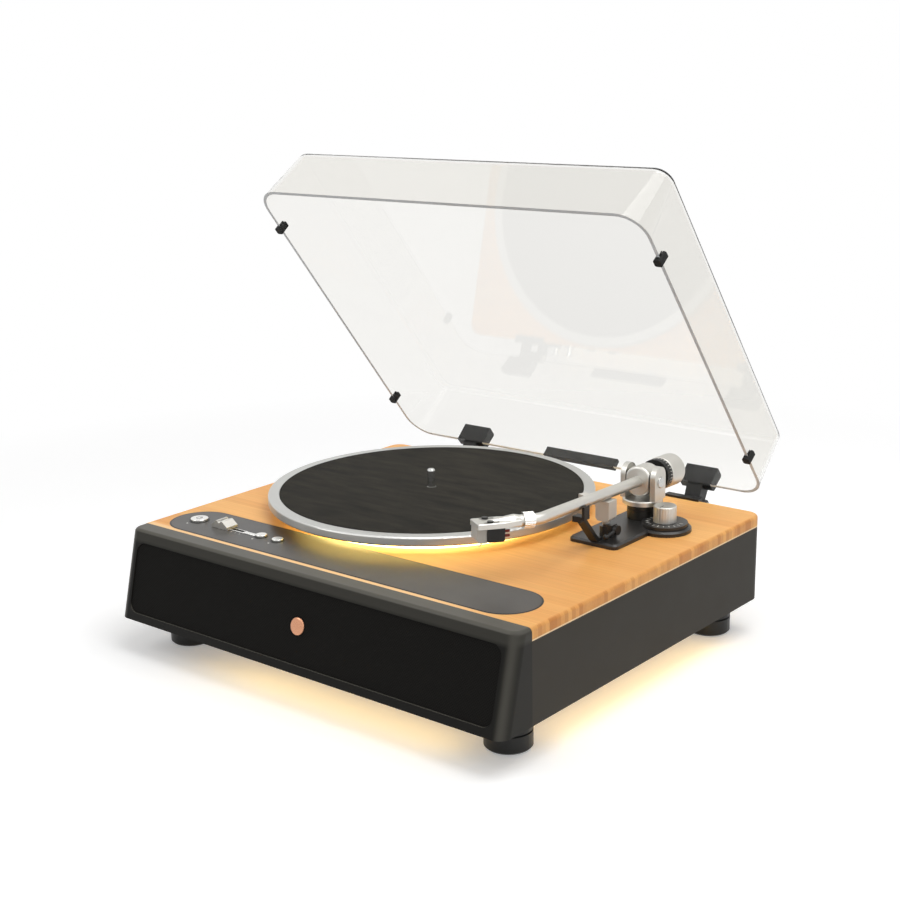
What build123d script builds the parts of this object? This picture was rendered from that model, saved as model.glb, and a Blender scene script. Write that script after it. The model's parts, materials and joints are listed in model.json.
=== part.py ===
from build123d import *
import os
from math import atan2, cos, degrees, hypot, pi, radians, sin, tan

# Record player with front speakers, a lit platter, a curved tonearm and a clear fold-up dust cover.
# Millimetres, +X right, +Y back, +Z up. The origin is on the floor, under the middle of the whole object
# with its cover open. The cover is drawn shut and the tonearm level, and both are turned to the rest pose.

# Cabinet
CABINET_WIDTH = 433.0
PLINTH_DEPTH = 346.0
CABINET_HEIGHT = 78.5
CABINET_WALL = 12.0
BACK_CORNER_R = 13.0
TOP_THICKNESS = 10.5
TOP_EDGE_R = 3.0
FLOOR_THICKNESS = 6.0
CORNER_BLOCK = 16.0
FOOT_HEIGHT = 32.0
FOOT_R = 19.4
FOOT_INSET_X = 35.0
FOOT_INSET_FRONT = 16.0
FOOT_INSET_BACK = 30.0
FOOT_GROOVE = 1.6
FOOT_TIER = 15.0
PAD_R = 15.0
PAD_THICKNESS = 2.0
PAD_PROUD = 1.0
FOOT_SCREW_R = 2.5
FOOT_SCREW_HEAD_R = 4.5

# Front bezel, grille and speakers
BEZEL_TOP_DEPTH = 16.5
BEZEL_FOOT_DEPTH = 37.0
BEZEL_SIDE = 12.0
BEZEL_HEAD = 11.0
BEZEL_SILL = 7.0
BEZEL_CORNER_R = 10.0
BEZEL_EDGE_R = 4.0
GRILLE_CORNER_R = 9.0
GRILLE_RECESS = 1.0
GRILLE_GAP = 0.3
CLOTH_THICKNESS = 1.2
GRILLE_FRAME_DEPTH = 5.0
GRILLE_FRAME_BAR = 6.0
GRILLE_RIBS = 4
BAFFLE_THICKNESS = 10.0
SPEAKER_INSET = 84.0
SPEAKER_HOLE_R = 25.5
SPEAKER_FLANGE_R = 29.5
SPEAKER_FLANGE = 2.5
BASKET_DEPTH = 24.0
BASKET_WALL = 1.5
BASKET_WINDOWS = 6
MAGNET_R = 19.0
MAGNET_DEPTH = 13.0
CONE_THICKNESS = 0.9
CONE_DEPTH = 9.0
DUST_CAP_R = 9.0

# Platter and drive, heights above the top surface
PLATTER_OFFSET_X = -41.0
PLATTER_BACK_GAP = 2.5
PLATTER_R = 150.0
PLATTER_RIM_TOP = 17.3
PLATTER_RIM_HEIGHT = 8.5
PLATTER_RIM_WALL = 5.0
PLATTER_PLATE = 3.0
PLATTER_EDGE_R = 1.5
MAT_R = 139.3
MAT_THICKNESS = 2.5
MAT_PROUD = 0.3
MAT_GAP = 0.4
SPINDLE_R = 3.6
SHAFT_R = 4.0
SPINDLE_ABOVE_MAT = 17.0
SPINDLE_TIP_R = 2.2
SHAFT_DEPTH = 36.0
RUNNING_GAP = 0.05
PRESS_GAP = 0.02
DRIVE_RIM_R = 80.0
DRIVE_RIM_WALL = 2.5
DRIVE_RIM_FOOT = 4.2
HUB_R = 13.0
HUB_FOOT = 1.6
SPOKES = 5
BUSH_R = 7.0
HOUSING_R = 10.5
HOUSING_FLANGE_R = 18.0
HOUSING_FLANGE = 1.2
BALL_R = 2.5
HOUSING_FLOOR = 3.0
BELT_FOOT = 5.0
BELT_HEIGHT = 4.0
BELT_THICKNESS = 0.8
BELT_GAP = 0.35
PULLEY_R = 6.5
PULLEY_FLANGE_R = 8.0
PULLEY_FLANGE = 0.8
PULLEY_DISTANCE = 106.0
PULLEY_ANGLE = 135.0
MOTOR_R = 18.0
MOTOR_HEIGHT = 26.0
MOTOR_PLATE = 2.0
MOTOR_PLATE_SIZE = 58.0
MOTOR_SHAFT_R = 1.5
LIGHT_RING_R = 127.0
LIGHT_RING_WIDTH = 7.0
LIGHT_RING_HEIGHT = 5.0
GLOW_BAR_WIDTH = 10.0
GLOW_BAR_HEIGHT = 3.0
GLOW_BAR_INSET = 7.0

# Controls on the strip let into the top
STRIP_LEFT_INSET = 11.0
STRIP_RIGHT_INSET = 21.0
STRIP_WIDTH = 56.0
STRIP_FRONT_INSET = 5.2
STRIP_THICKNESS = 2.0
STRIP_PROUD = 0.2
STRIP_GAP = 0.15
BUTTON_GAP = 0.2
BUTTON_TRAVEL = 1.0
BUTTON_COLLAR = 0.9
BUTTON_COLLAR_THICKNESS = 1.0
POWER_R = 8.0
POWER_HEIGHT = 2.4
POWER_FROM_END = 25.0
KEY_R = 5.0
KEY_HEIGHT = 2.2
FIRST_KEY_FROM_END = 105.0
KEY_PITCH = 20.0
SLIDER_FROM_END = 58.0
SLIDER_LENGTH = 20.0
SLIDER_WIDTH = 13.0
SLIDER_HEIGHT = 7.0
SLIDER_TRAVEL = 26.0
SLIDER_SLOT_WIDTH = 3.0
SLIDER_STEM = 2.4
BOARD_THICKNESS = 1.6
BOARD_MARGIN = 7.0
BOARD_HALF_WIDTH = 14.0

# Tonearm, heights above the top surface, plan places from the platter's axis
ARM_PIVOT_X = 184.3
ARM_PIVOT_Y = 68.7
ARM_AXIS_HEIGHT = 38.5
ARM_YAW = 2.8
ARM_LIFT = 2.6
TUBE_RUN = 164.0
ARM_BEND = 34.5
ARM_BEND_R = 16.5
HEAD_RUN = 51.0
COLLAR_TO_STYLUS = 41.0
TUBE_R = 4.8
TUBE_WALL = 0.8
DRUM_R = 13.5
DRUM_FRONT = 10.0
DRUM_BACK = 11.0
DRUM_FLAT = 11.0
DRUM_EDGE_R = 2.5
YOKE_GAP = 1.2
CHEEK_THICKNESS = 5.0
CHEEK_R = 9.3
CHEEK_RISE = 4.5
YOKE_BASE_R = 17.6
YOKE_BASE = 4.5
YOKE_SHAFT_R = 4.0
PIVOT_PIN_R = 1.5
PIVOT_CAP_R = 5.0
PIVOT_CAP = 1.6
PIVOT_BITE = 3.0
PILLAR_R = 13.5
PILLAR_TOP = 18.0
STACK_GAP = 0.3
BASE_THICKNESS = 4.5
BASE_CHAMFER = 1.6
BASE_FRONT = 82.0
BASE_LEFT = 22.0
BASE_RIGHT = 26.0
BASE_CORNER_R = 5.0
HEADSHELL_WIDTH = 20.0
HEADSHELL_THICKNESS = 4.5
HEADSHELL_NOSE = 4.0
HEADSHELL_SHOULDER = 19.0
HEADSHELL_NECK = 34.0
HEADSHELL_RIDGE_R = 5.8
HEADSHELL_SLOT = 2.6
CARTRIDGE_PITCH = 12.7
COLLAR_R = 6.6
COLLAR_LENGTH = 9.0
CARTRIDGE_WIDTH = 16.0
CARTRIDGE_HEIGHT = 11.5
CARTRIDGE_LENGTH = 14.5
HOLDER_WIDTH = 13.0
HOLDER_LENGTH = 8.5
HOLDER_HEIGHT = 12.0
RECORD_HEIGHT = 2.0
CANTILEVER_R = 0.4
STUB_R = 4.0
STUB_LENGTH = 57.0
BUSH_SLEEVE_R = 6.5
WEIGHT_R = 14.5
WEIGHT_LENGTH = 22.0
WEIGHT_TRAVEL = 3.75
DIAL_R = 14.0
DIAL_LENGTH = 8.5
DIAL_FROM_PIVOT = 20.0
GRIP_TEETH = 24
KNOB_OFFSET_X = 28.3
KNOB_OFFSET_Y = -8.7
KNOB_R = 10.0
KNOB_HEIGHT = 14.4
KNOB_DISC_R = 23.0
KNOB_DISC_STEP = 3.0
KNOB_STEM_R = 3.0
LIFT_RADIUS = 62.0
LIFT_ARC = 26.0
LIFT_WIDTH = 8.0
LIFT_THICKNESS = 5.0
LIFT_BLOCK = 13.0
LIFT_PISTON_R = 3.0
LIFT_POST_R = 5.5
LIFT_POST_TOP = 13.5
LIFT_GAP = 0.4
LEVER_HUB_R = 4.2
LEVER_HUB = 4.0
LEVER_SHAFT_R = 2.0
LEVER_AXIS_HEIGHT = 11.0
LEVER_LENGTH = 16.0
LEVER_DROP = 8.0
LEVER_R = 1.6
REST_RADIUS = 105.0
REST_WIDTH = 8.0
REST_STRAP = 2.5
REST_SEAT = 5.6
REST_PRONG = 2.5
REST_PRONG_HEIGHT = 9.0

# Dust cover and hinges
COVER_WIDTH = 417.0
COVER_DEPTH = 347.5
COVER_HEIGHT = 60.5
COVER_DRAFT = 6.5
COVER_WALL = 3.0
COVER_CORNER_R = 25.0
COVER_HEAD_R = 14.0
COVER_TOP_R = 6.5
COVER_OVERHANG = 3.5
COVER_RIM_GAP = 4.0
COVER_ANGLE = 51.7
HINGE_BEHIND = 16.7
HINGE_BELOW = 10.2
HINGE_SPREAD = 268.0
HINGE_OFFSET_X = 1.0
HINGE_PIN_R = 2.5
KNUCKLE_R = 6.0
KNUCKLE_WIDTH = 16.0
KNUCKLE_GAP = 0.3
EAR_THICKNESS = 5.0
BRACKET_WIDTH = 36.0
BRACKET_PLATE = 3.0
BRACKET_DROP = 30.0
BRACKET_RISE = 2.0
BRACKET_LIP = 5.0
LEAF_WIDTH = 33.0
LEAF_HEIGHT = 19.0
LEAF_THICKNESS = 9.0
BUMPER_LENGTH = 7.0
BUMPER_WIDTH = 7.0
BUMPER_GRIP = 7.0
BUMPER_GAP = 0.3
BUMPER_PLACES = (0.158, 0.862)
REAR_BAR_LENGTH = 84.0
REAR_BAR_OFFSET_X = 3.0
REAR_BAR_HEIGHT = 10.0
REAR_BAR_THICKNESS = 4.0

# Rear connectors and boards
PLATE_WIDTH = 104.0
PLATE_HEIGHT = 36.0
PLATE_THICKNESS = 2.0
PLATE_LEDGE = 6.0
PLATE_OFFSET_X = -90.0
PHONO_R = 4.15
PHONO_LENGTH = 9.0
PHONO_BORE_R = 1.7
PHONO_PITCH = 18.0
PHONO_FLANGE_R = 6.0
AUX_BORE_R = 1.8
AUX_NOSE_R = 4.0
AUX_DEPTH = 13.0
POWER_BORE_R = 3.0
POWER_PIN_R = 1.0
JACK_BODY = 12.0
JACK_PROUD = 2.0
BOARD_TO_WALL = 45.5
BOARD_SIZE_X = 120.0
BOARD_SIZE_Y = 80.0
STANDOFF_R = 3.0
STANDOFF_HEIGHT = 8.0
CAPACITOR_R = 6.0
CAPACITOR_HEIGHT = 18.0
SINK_HEIGHT = 24.0
SINK_FINS = 6

# Places worked out from the sizes
HALF_WIDTH = CABINET_WIDTH / 2
BODY_Z = FOOT_HEIGHT
TOP_Z = FOOT_HEIGHT + CABINET_HEIGHT
DECK_Z = TOP_Z - TOP_THICKNESS
FLOOR_Z = BODY_Z + FLOOR_THICKNESS
COVER_COS = cos(radians(COVER_ANGLE))
COVER_SIN = sin(radians(COVER_ANGLE))
COVER_RISE = HINGE_BELOW + COVER_RIM_GAP + COVER_HEIGHT
COVER_RUN = HINGE_BEHIND - COVER_OVERHANG + COVER_DRAFT
COVER_LEAN = atan2(COVER_DRAFT, COVER_HEIGHT)
COVER_EASE = (COVER_SIN + cos(radians(COVER_ANGLE) - COVER_LEAN)) / (1 + sin(COVER_LEAN)) - 1
COVER_REACH = HINGE_BEHIND - COVER_RUN * COVER_COS + COVER_RISE * COVER_SIN - COVER_TOP_R * COVER_EASE
BACK_Y = (PLINTH_DEPTH + BEZEL_FOOT_DEPTH - COVER_REACH) / 2
SEAM_Y = BACK_Y - PLINTH_DEPTH
INNER_X = HALF_WIDTH - CABINET_WALL
INNER_BACK = BACK_Y - CABINET_WALL
HINGE_Y = BACK_Y + HINGE_BEHIND
HINGE_Z = TOP_Z - HINGE_BELOW
RIM_BACK = BACK_Y + COVER_OVERHANG
RIM_Z = TOP_Z + COVER_RIM_GAP
PLATTER_X = PLATTER_OFFSET_X
PLATTER_Y = BACK_Y - PLATTER_BACK_GAP - PLATTER_R
MAT_TOP = TOP_Z + PLATTER_RIM_TOP + MAT_PROUD
MAT_SEAT = MAT_TOP - MAT_THICKNESS
PLATE_UNDER = MAT_SEAT - PLATTER_PLATE
PULLEY_X = PLATTER_X + PULLEY_DISTANCE * cos(radians(PULLEY_ANGLE))
PULLEY_Y = PLATTER_Y + PULLEY_DISTANCE * sin(radians(PULLEY_ANGLE))
STRIP_Y = SEAM_Y + STRIP_FRONT_INSET + STRIP_WIDTH / 2
STRIP_LENGTH = CABINET_WIDTH - STRIP_LEFT_INSET - STRIP_RIGHT_INSET
STRIP_LEFT = STRIP_LEFT_INSET - HALF_WIDTH
STRIP_X = STRIP_LEFT + STRIP_LENGTH / 2
STRIP_TOP = TOP_Z + STRIP_PROUD
STRIP_UNDER = STRIP_TOP - STRIP_THICKNESS
BOARD_TOP = DECK_Z
POWER_X = STRIP_LEFT + POWER_FROM_END
SLIDER_X = STRIP_LEFT + SLIDER_FROM_END
FIRST_KEY_X = STRIP_LEFT + FIRST_KEY_FROM_END
SECOND_KEY_X = FIRST_KEY_X + KEY_PITCH
PIVOT_X = PLATTER_X + ARM_PIVOT_X
PIVOT_Y = PLATTER_Y + ARM_PIVOT_Y
ARM_Z = TOP_Z + ARM_AXIS_HEIGHT
BASE_TOP = TOP_Z + BASE_THICKNESS
KNOB_X = PIVOT_X + KNOB_OFFSET_X
KNOB_Y = PIVOT_Y + KNOB_OFFSET_Y
KNOB_SEAT = BASE_TOP + KNOB_DISC_STEP
PLATE_X = PLATE_OFFSET_X
PLATE_Z = (FLOOR_Z + DECK_Z) / 2
STANDING = (Align.CENTER, Align.CENTER, Align.MIN)

# The arm turns and lifts about its pivot. Its own frame points the tube along -Y.
ARM_SWUNG = Pos(PIVOT_X, PIVOT_Y, ARM_Z) * Rot(0, 0, ARM_YAW)
ARM_PLACE = ARM_SWUNG * Rot(-ARM_LIFT, 0, 0)
HEAD_PLACE = ARM_PLACE * Pos(0, -TUBE_RUN, 0) * Rot(0, 0, -ARM_BEND) * Pos(0, -HEAD_RUN, 0)
LIFT_DROP = LIFT_RADIUS * radians(ARM_LIFT)
STYLUS_DROP = ARM_AXIS_HEIGHT - (PLATTER_RIM_TOP + MAT_PROUD + RECORD_HEIGHT)


def slab(x0, x1, y0, y1, z0, z1):
    """Box between two corners."""
    return Pos((x0 + x1) / 2, (y0 + y1) / 2, (z0 + z1) / 2) * Box(x1 - x0, y1 - y0, z1 - z0)


def post(x, y, z0, z1, radius):
    """Upright cylinder from one height to another."""
    return Pos(x, y, z0) * Cylinder(radius, z1 - z0, align=STANDING)


def rod(start, direction, length, radius):
    """Cylinder from a point along a direction."""
    return Plane(origin=start, z_dir=direction) * Cylinder(radius, length, align=STANDING)


def lathe(*points):
    """Solid of revolution about Z from (radius, height) points."""
    return revolve(Plane.XZ * Polygon(*points, align=None), Axis.Z)


def side_profile(half_width, *points):
    """Outline of (y, z) points carried along X, both ways from the middle."""
    return extrude(Plane.YZ * Polygon(*points, align=None), amount=half_width, both=True)


def circles(shape, radius):
    """Round edges of a shape with a radius."""
    edges = shape.edges().filter_by(GeomType.CIRCLE)
    return edges.filter_by(lambda edge: abs(edge.radius - radius) < PRESS_GAP)


def ring(inner, outer, z0, z1):
    """Upright tube about Z."""
    return lathe((inner, z0), (outer, z0), (outer, z1), (inner, z1))


def gripped(shape, radius, length, teeth=GRIP_TEETH):
    """Cut shallow upright grooves round a knob that stands on Z."""
    groove_r = pi * radius / teeth / 2
    for k in range(teeth):
        turn = Rot(0, 0, 360 * k / teeth)
        shape -= turn * Pos(radius + groove_r / 2, 0, 0) * Cylinder(groove_r, length, align=STANDING)
    return shape


def back_rounded(x, y0, y1, z0, z1):
    """Box with its two upright back corners rounded, as the cabinet and its top are."""
    body = slab(-x, x, y0, y1, z0, z1)
    return fillet(body.edges().filter_by(Axis.Z).group_by(Axis.Y)[-1], BACK_CORNER_R)


# Cabinet


def cabinet_shell():
    """Two sides and a back in one wrap, with corner blocks and the rear connector window."""
    shell = back_rounded(HALF_WIDTH, SEAM_Y, BACK_Y, BODY_Z, DECK_Z)
    shell -= slab(-INNER_X, INNER_X, SEAM_Y, INNER_BACK, BODY_Z, DECK_Z)
    for side in (-1, 1):
        near, far = sorted((side * (INNER_X - CORNER_BLOCK), side * INNER_X))
        for y0 in (SEAM_Y + BAFFLE_THICKNESS, INNER_BACK - CORNER_BLOCK):
            shell += slab(near, far, y0, y0 + CORNER_BLOCK, FLOOR_Z, DECK_Z)
    shell -= rear_panel(0, BACK_Y - PLATE_THICKNESS)
    return shell - rear_panel(PLATE_LEDGE, INNER_BACK)


def rear_panel(inset, y0):
    """Block of the connector plate's outline, taken in by an inset, from y0 to the back face."""
    half_x, half_z = PLATE_WIDTH / 2 - inset, PLATE_HEIGHT / 2 - inset
    return slab(PLATE_X - half_x, PLATE_X + half_x, y0, BACK_Y, PLATE_Z - half_z, PLATE_Z + half_z)


def bottom_panel():
    """Floor board between the cabinet walls, with clearance holes for the foot screws."""
    panel = slab(-INNER_X, INNER_X, SEAM_Y, INNER_BACK, BODY_Z, FLOOR_Z)
    for x, y in foot_places():
        panel -= post(x, y, BODY_Z, FLOOR_Z, FOOT_SCREW_R + RUNNING_GAP)
    return panel


def top_plate():
    """Bamboo board with eased edges, cut for the strip, its board, the bearing, the pulley and the arm."""
    spare = TOP_EDGE_R * 3
    board = back_rounded(HALF_WIDTH, SEAM_Y - spare, BACK_Y, DECK_Z, TOP_Z)
    board = fillet(board.faces().sort_by(Axis.Z)[-1].edges(), TOP_EDGE_R)
    board -= slab(-HALF_WIDTH, HALF_WIDTH, SEAM_Y - spare, SEAM_Y, DECK_Z, TOP_Z)
    board -= strip_outline(STRIP_GAP, STRIP_UNDER, TOP_Z)
    x0, x1, y0, y1 = board_window()
    board -= slab(x0, x1, y0, y1, DECK_Z, TOP_Z)
    board -= post(PLATTER_X, PLATTER_Y, DECK_Z, TOP_Z, HOUSING_R + RUNNING_GAP)
    board -= post(PULLEY_X, PULLEY_Y, DECK_Z, TOP_Z, PULLEY_FLANGE_R + 2 * BELT_GAP)
    board -= post(PIVOT_X, PIVOT_Y, DECK_Z, TOP_Z, PILLAR_R / 2)
    return board


def foot_places():
    """Plan places of the four feet."""
    x = HALF_WIDTH - FOOT_INSET_X
    return [(sx * x, y) for y in (SEAM_Y + FOOT_INSET_FRONT, BACK_Y - FOOT_INSET_BACK) for sx in (-1, 1)]


def feet():
    """Two-tier round feet with a waist groove, a pad recess below and a screw hole."""
    waist_r = FOOT_R - FOOT_GROOVE
    seat = PAD_THICKNESS - PAD_PROUD
    profile = [(0, PAD_PROUD), (FOOT_R - FOOT_GROOVE, PAD_PROUD), (FOOT_R, PAD_PROUD + FOOT_GROOVE)]
    profile += [(FOOT_R, FOOT_TIER), (waist_r, FOOT_TIER), (waist_r, FOOT_TIER + FOOT_GROOVE)]
    profile += [(FOOT_R, FOOT_TIER + FOOT_GROOVE), (FOOT_R, FOOT_HEIGHT), (0, FOOT_HEIGHT)]
    foot = lathe(*profile)
    foot -= post(0, 0, PAD_PROUD, PAD_PROUD + seat, PAD_R)
    foot -= post(0, 0, PAD_PROUD, FOOT_HEIGHT, FOOT_SCREW_R + RUNNING_GAP)
    foot -= post(0, 0, PAD_PROUD, FOOT_TIER, FOOT_SCREW_HEAD_R + RUNNING_GAP)
    return Part() + [Pos(x, y, 0) * foot for x, y in foot_places()]


def foot_pads():
    """Soft discs that the feet stand on."""
    pad = post(0, 0, 0, PAD_THICKNESS, PAD_R - RUNNING_GAP)
    pad = chamfer(pad.edges().group_by(Axis.Z)[0], PAD_PROUD / 2)
    return Part() + [Pos(x, y, 0) * pad for x, y in foot_places()]


def foot_screws():
    """Screws that hold each foot to the bottom panel, heads inside the feet."""
    screw = post(0, 0, FOOT_TIER - FOOT_SCREW_R, FOOT_TIER, FOOT_SCREW_HEAD_R)
    screw += post(0, 0, FOOT_TIER, FLOOR_Z, FOOT_SCREW_R)
    return Part() + [Pos(x, y, 0) * screw for x, y in foot_places()]


def glow_bars():
    """Amber light bars under the cabinet's four edges, between the feet."""
    reach_x = HALF_WIDTH - FOOT_INSET_X - FOOT_R - GLOW_BAR_INSET
    front = SEAM_Y + FOOT_INSET_FRONT + FOOT_R + GLOW_BAR_INSET
    back = BACK_Y - FOOT_INSET_BACK - FOOT_R - GLOW_BAR_INSET
    low, edge = BODY_Z - GLOW_BAR_HEIGHT, GLOW_BAR_INSET + GLOW_BAR_WIDTH
    bars = [slab(-reach_x, reach_x, y, y + GLOW_BAR_WIDTH, low, BODY_Z)
            for y in (SEAM_Y - BEZEL_TOP_DEPTH, BACK_Y - edge)]
    for side in (-1, 1):
        near, far = sorted((side * (HALF_WIDTH - edge), side * (HALF_WIDTH - GLOW_BAR_INSET)))
        bars.append(slab(near, far, front, back, low, BODY_Z))
    return Part() + bars


# Front bezel, grille and speakers


def front_plane():
    """Plane of the slanted front, X to the right and Z outwards, with the length of its slope."""
    run, rise = BEZEL_FOOT_DEPTH - BEZEL_TOP_DEPTH, CABINET_HEIGHT
    slope = hypot(run, rise)
    middle_y = SEAM_Y - (BEZEL_TOP_DEPTH + BEZEL_FOOT_DEPTH) / 2
    middle = (0, middle_y, (BODY_Z + TOP_Z) / 2)
    return Plane(origin=middle, x_dir=(1, 0, 0), z_dir=(0, -rise / slope, run / slope)), slope


def front_panel(inset, y0, y1):
    """Slanted rounded slab that fills the bezel's opening less an inset, from y0 to y1 behind the front."""
    plane, slope = front_plane()
    width = CABINET_WIDTH - 2 * BEZEL_SIDE - 2 * inset
    height = slope - BEZEL_HEAD - BEZEL_SILL - 2 * inset
    centre = (BEZEL_SILL - BEZEL_HEAD) / 2
    corner = GRILLE_CORNER_R - min(inset, GRILLE_CORNER_R / 2)
    face = plane * Pos(0, centre, 0) * RectangleRounded(width, height, corner)
    return Pos(0, y0, 0) * extrude(face, amount=y1 - y0, dir=(0, 1, 0))


def front_bezel():
    """Slanted front frame with rounded corners and an opening for the grille."""
    top, foot = SEAM_Y - BEZEL_TOP_DEPTH, SEAM_Y - BEZEL_FOOT_DEPTH
    body = side_profile(HALF_WIDTH, (SEAM_Y, BODY_Z), (SEAM_Y, TOP_Z), (top, TOP_Z), (foot, BODY_Z))
    front = body.faces().sort_by(Axis.Y)[0]
    uprights = front.edges().filter_by(Axis.X, reverse=True)
    body = fillet(uprights, BEZEL_CORNER_R)
    head = body.edges().filter_by(Axis.X).group_by(Axis.Z)[-1].sort_by(Axis.Y)[0]
    body = fillet(head, BEZEL_EDGE_R)
    return body - front_panel(0, -BEZEL_FOOT_DEPTH, 2 * BEZEL_FOOT_DEPTH)


def grille_cloth():
    """Acoustic cloth over the grille frame, just behind the bezel's front face."""
    return front_panel(GRILLE_GAP, GRILLE_RECESS, GRILLE_RECESS + CLOTH_THICKNESS)


def grille_frame():
    """Open frame that stretches the cloth, with upright ribs."""
    front = GRILLE_RECESS + CLOTH_THICKNESS
    back = front + GRILLE_FRAME_DEPTH
    frame = front_panel(GRILLE_GAP, front, back)
    opening = front_panel(GRILLE_GAP + GRILLE_FRAME_BAR, front - 1, back + 1)
    span = CABINET_WIDTH - 2 * BEZEL_SIDE
    for k in range(GRILLE_RIBS):
        x = span * ((k + 1) / (GRILLE_RIBS + 1) - 0.5)
        half = GRILLE_FRAME_BAR / 2
        opening -= slab(x - half, x + half, SEAM_Y - BEZEL_FOOT_DEPTH, SEAM_Y, BODY_Z, TOP_Z)
    return frame - opening


def speaker_places():
    """X and Z of the two speakers."""
    return [(side * (HALF_WIDTH - SPEAKER_INSET), (FLOOR_Z + DECK_Z) / 2) for side in (-1, 1)]


def speaker_baffle():
    """Board behind the grille that carries the speakers."""
    board = slab(-INNER_X, INNER_X, SEAM_Y, SEAM_Y + BAFFLE_THICKNESS, FLOOR_Z, DECK_Z)
    for x, z in speaker_places():
        board -= rod((x, SEAM_Y, z), (0, 1, 0), BAFFLE_THICKNESS, SPEAKER_HOLE_R)
    return board


def speaker_pair(shape):
    """Copies of a speaker piece, drawn with +Z to the front of the baffle, at both places."""
    return Part() + [Pos(x, SEAM_Y, z) * Rot(90, 0, 0) * shape for x, z in speaker_places()]


def speaker_baskets():
    """Flanged baskets with windows."""
    neck_r, back = SPEAKER_HOLE_R - GRILLE_GAP, -BASKET_DEPTH
    basket = lathe(
        (neck_r - BASKET_WALL, SPEAKER_FLANGE), (SPEAKER_FLANGE_R, SPEAKER_FLANGE), (SPEAKER_FLANGE_R, 0),
        (neck_r, 0), (MAGNET_R, back), (DUST_CAP_R, back), (DUST_CAP_R, back + BASKET_WALL),
        (MAGNET_R - BASKET_WALL, back + BASKET_WALL))
    for k in range(BASKET_WINDOWS):
        window = Pos(MAGNET_R, 0, back / 2) * Box(MAGNET_R, MAGNET_R / 2, BASKET_DEPTH / 3)
        basket -= Rot(0, 0, 360 * k / BASKET_WINDOWS) * window
    return speaker_pair(basket)


def speaker_magnets():
    """Ring magnets with their pole pieces behind the baskets."""
    return speaker_pair(post(0, 0, -BASKET_DEPTH - MAGNET_DEPTH, -BASKET_DEPTH, MAGNET_R))


def speaker_cones():
    """Cones with a rolled surround and a domed dust cap, seated on the flange."""
    edge_r = SPEAKER_FLANGE_R - BASKET_WALL
    roll_r = SPEAKER_HOLE_R - 2 * BASKET_WALL
    middle_r, low, t = (edge_r + roll_r) / 2, SPEAKER_FLANGE, CONE_THICKNESS
    cap = low - CONE_DEPTH
    cone = lathe(
        (edge_r, low), (edge_r, low + t), (middle_r, low + 3 * t), (roll_r, low + t),
        (DUST_CAP_R, cap + t), (DUST_CAP_R / 2, cap + 3 * t), (0, cap + 4 * t),
        (0, cap + 3 * t), (DUST_CAP_R / 2, cap + 2 * t), (DUST_CAP_R, cap),
        (roll_r - t, low), (middle_r, low + 2 * t), (edge_r - t, low))
    return speaker_pair(cone)


# Controls


def strip_outline(gap, z0, z1):
    """Stadium-shaped slab of the control strip, grown by a gap."""
    face = SlotOverall(STRIP_LENGTH + 2 * gap, STRIP_WIDTH + 2 * gap)
    return Pos(STRIP_X, STRIP_Y, z0) * extrude(face, amount=z1 - z0)


def board_window():
    """Window in the top for the control board: x0, x1, y0, y1."""
    x0 = POWER_X - POWER_R - BOARD_MARGIN
    x1 = SECOND_KEY_X + KEY_R + BOARD_MARGIN
    return x0, x1, STRIP_Y - BOARD_HALF_WIDTH, STRIP_Y + BOARD_HALF_WIDTH


def slider_slot(gap):
    """Slot that the slider's stem runs in, from one end of its travel to the other."""
    half = SLIDER_SLOT_WIDTH / 2
    x0, x1 = SLIDER_X - half - gap, SLIDER_X + SLIDER_TRAVEL + half + gap
    return slab(x0, x1, STRIP_Y - half, STRIP_Y + half, BOARD_TOP, STRIP_TOP)


def round_buttons():
    """Round buttons as (x, radius, height)."""
    keys = [(x, KEY_R, KEY_HEIGHT) for x in (FIRST_KEY_X, SECOND_KEY_X)]
    return [(POWER_X, POWER_R, POWER_HEIGHT), *keys]


def control_strip():
    """Dark strip let into the top, with holes for the buttons and the slider's slot."""
    strip = strip_outline(0, STRIP_UNDER, STRIP_TOP)
    for x, radius, height in round_buttons():
        strip -= post(x, STRIP_Y, STRIP_UNDER, STRIP_TOP, radius + BUTTON_GAP)
    return strip - slider_slot(BUTTON_GAP)


def push_button(x, radius, height):
    """Button with a dished top, a stem and a collar that keeps it under the strip."""
    stem_foot = BOARD_TOP + BOARD_THICKNESS + BUTTON_TRAVEL + BUTTON_GAP
    cap = post(0, 0, STRIP_UNDER, STRIP_TOP + height, radius)
    cap = fillet(cap.edges().group_by(Axis.Z)[-1], height / 4)
    collar_top = STRIP_UNDER - RUNNING_GAP
    cap += post(0, 0, collar_top - BUTTON_COLLAR_THICKNESS, collar_top, radius + BUTTON_COLLAR)
    cap += post(0, 0, collar_top, STRIP_UNDER, radius)
    cap += post(0, 0, stem_foot, collar_top, radius / 2)
    return Pos(x, STRIP_Y, 0) * cap


def power_button():
    """Large round button."""
    return push_button(*round_buttons()[0])


def source_button():
    """First of the two small buttons."""
    return push_button(*round_buttons()[1])


def light_button():
    """Second of the two small buttons."""
    return push_button(*round_buttons()[2])


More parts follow.
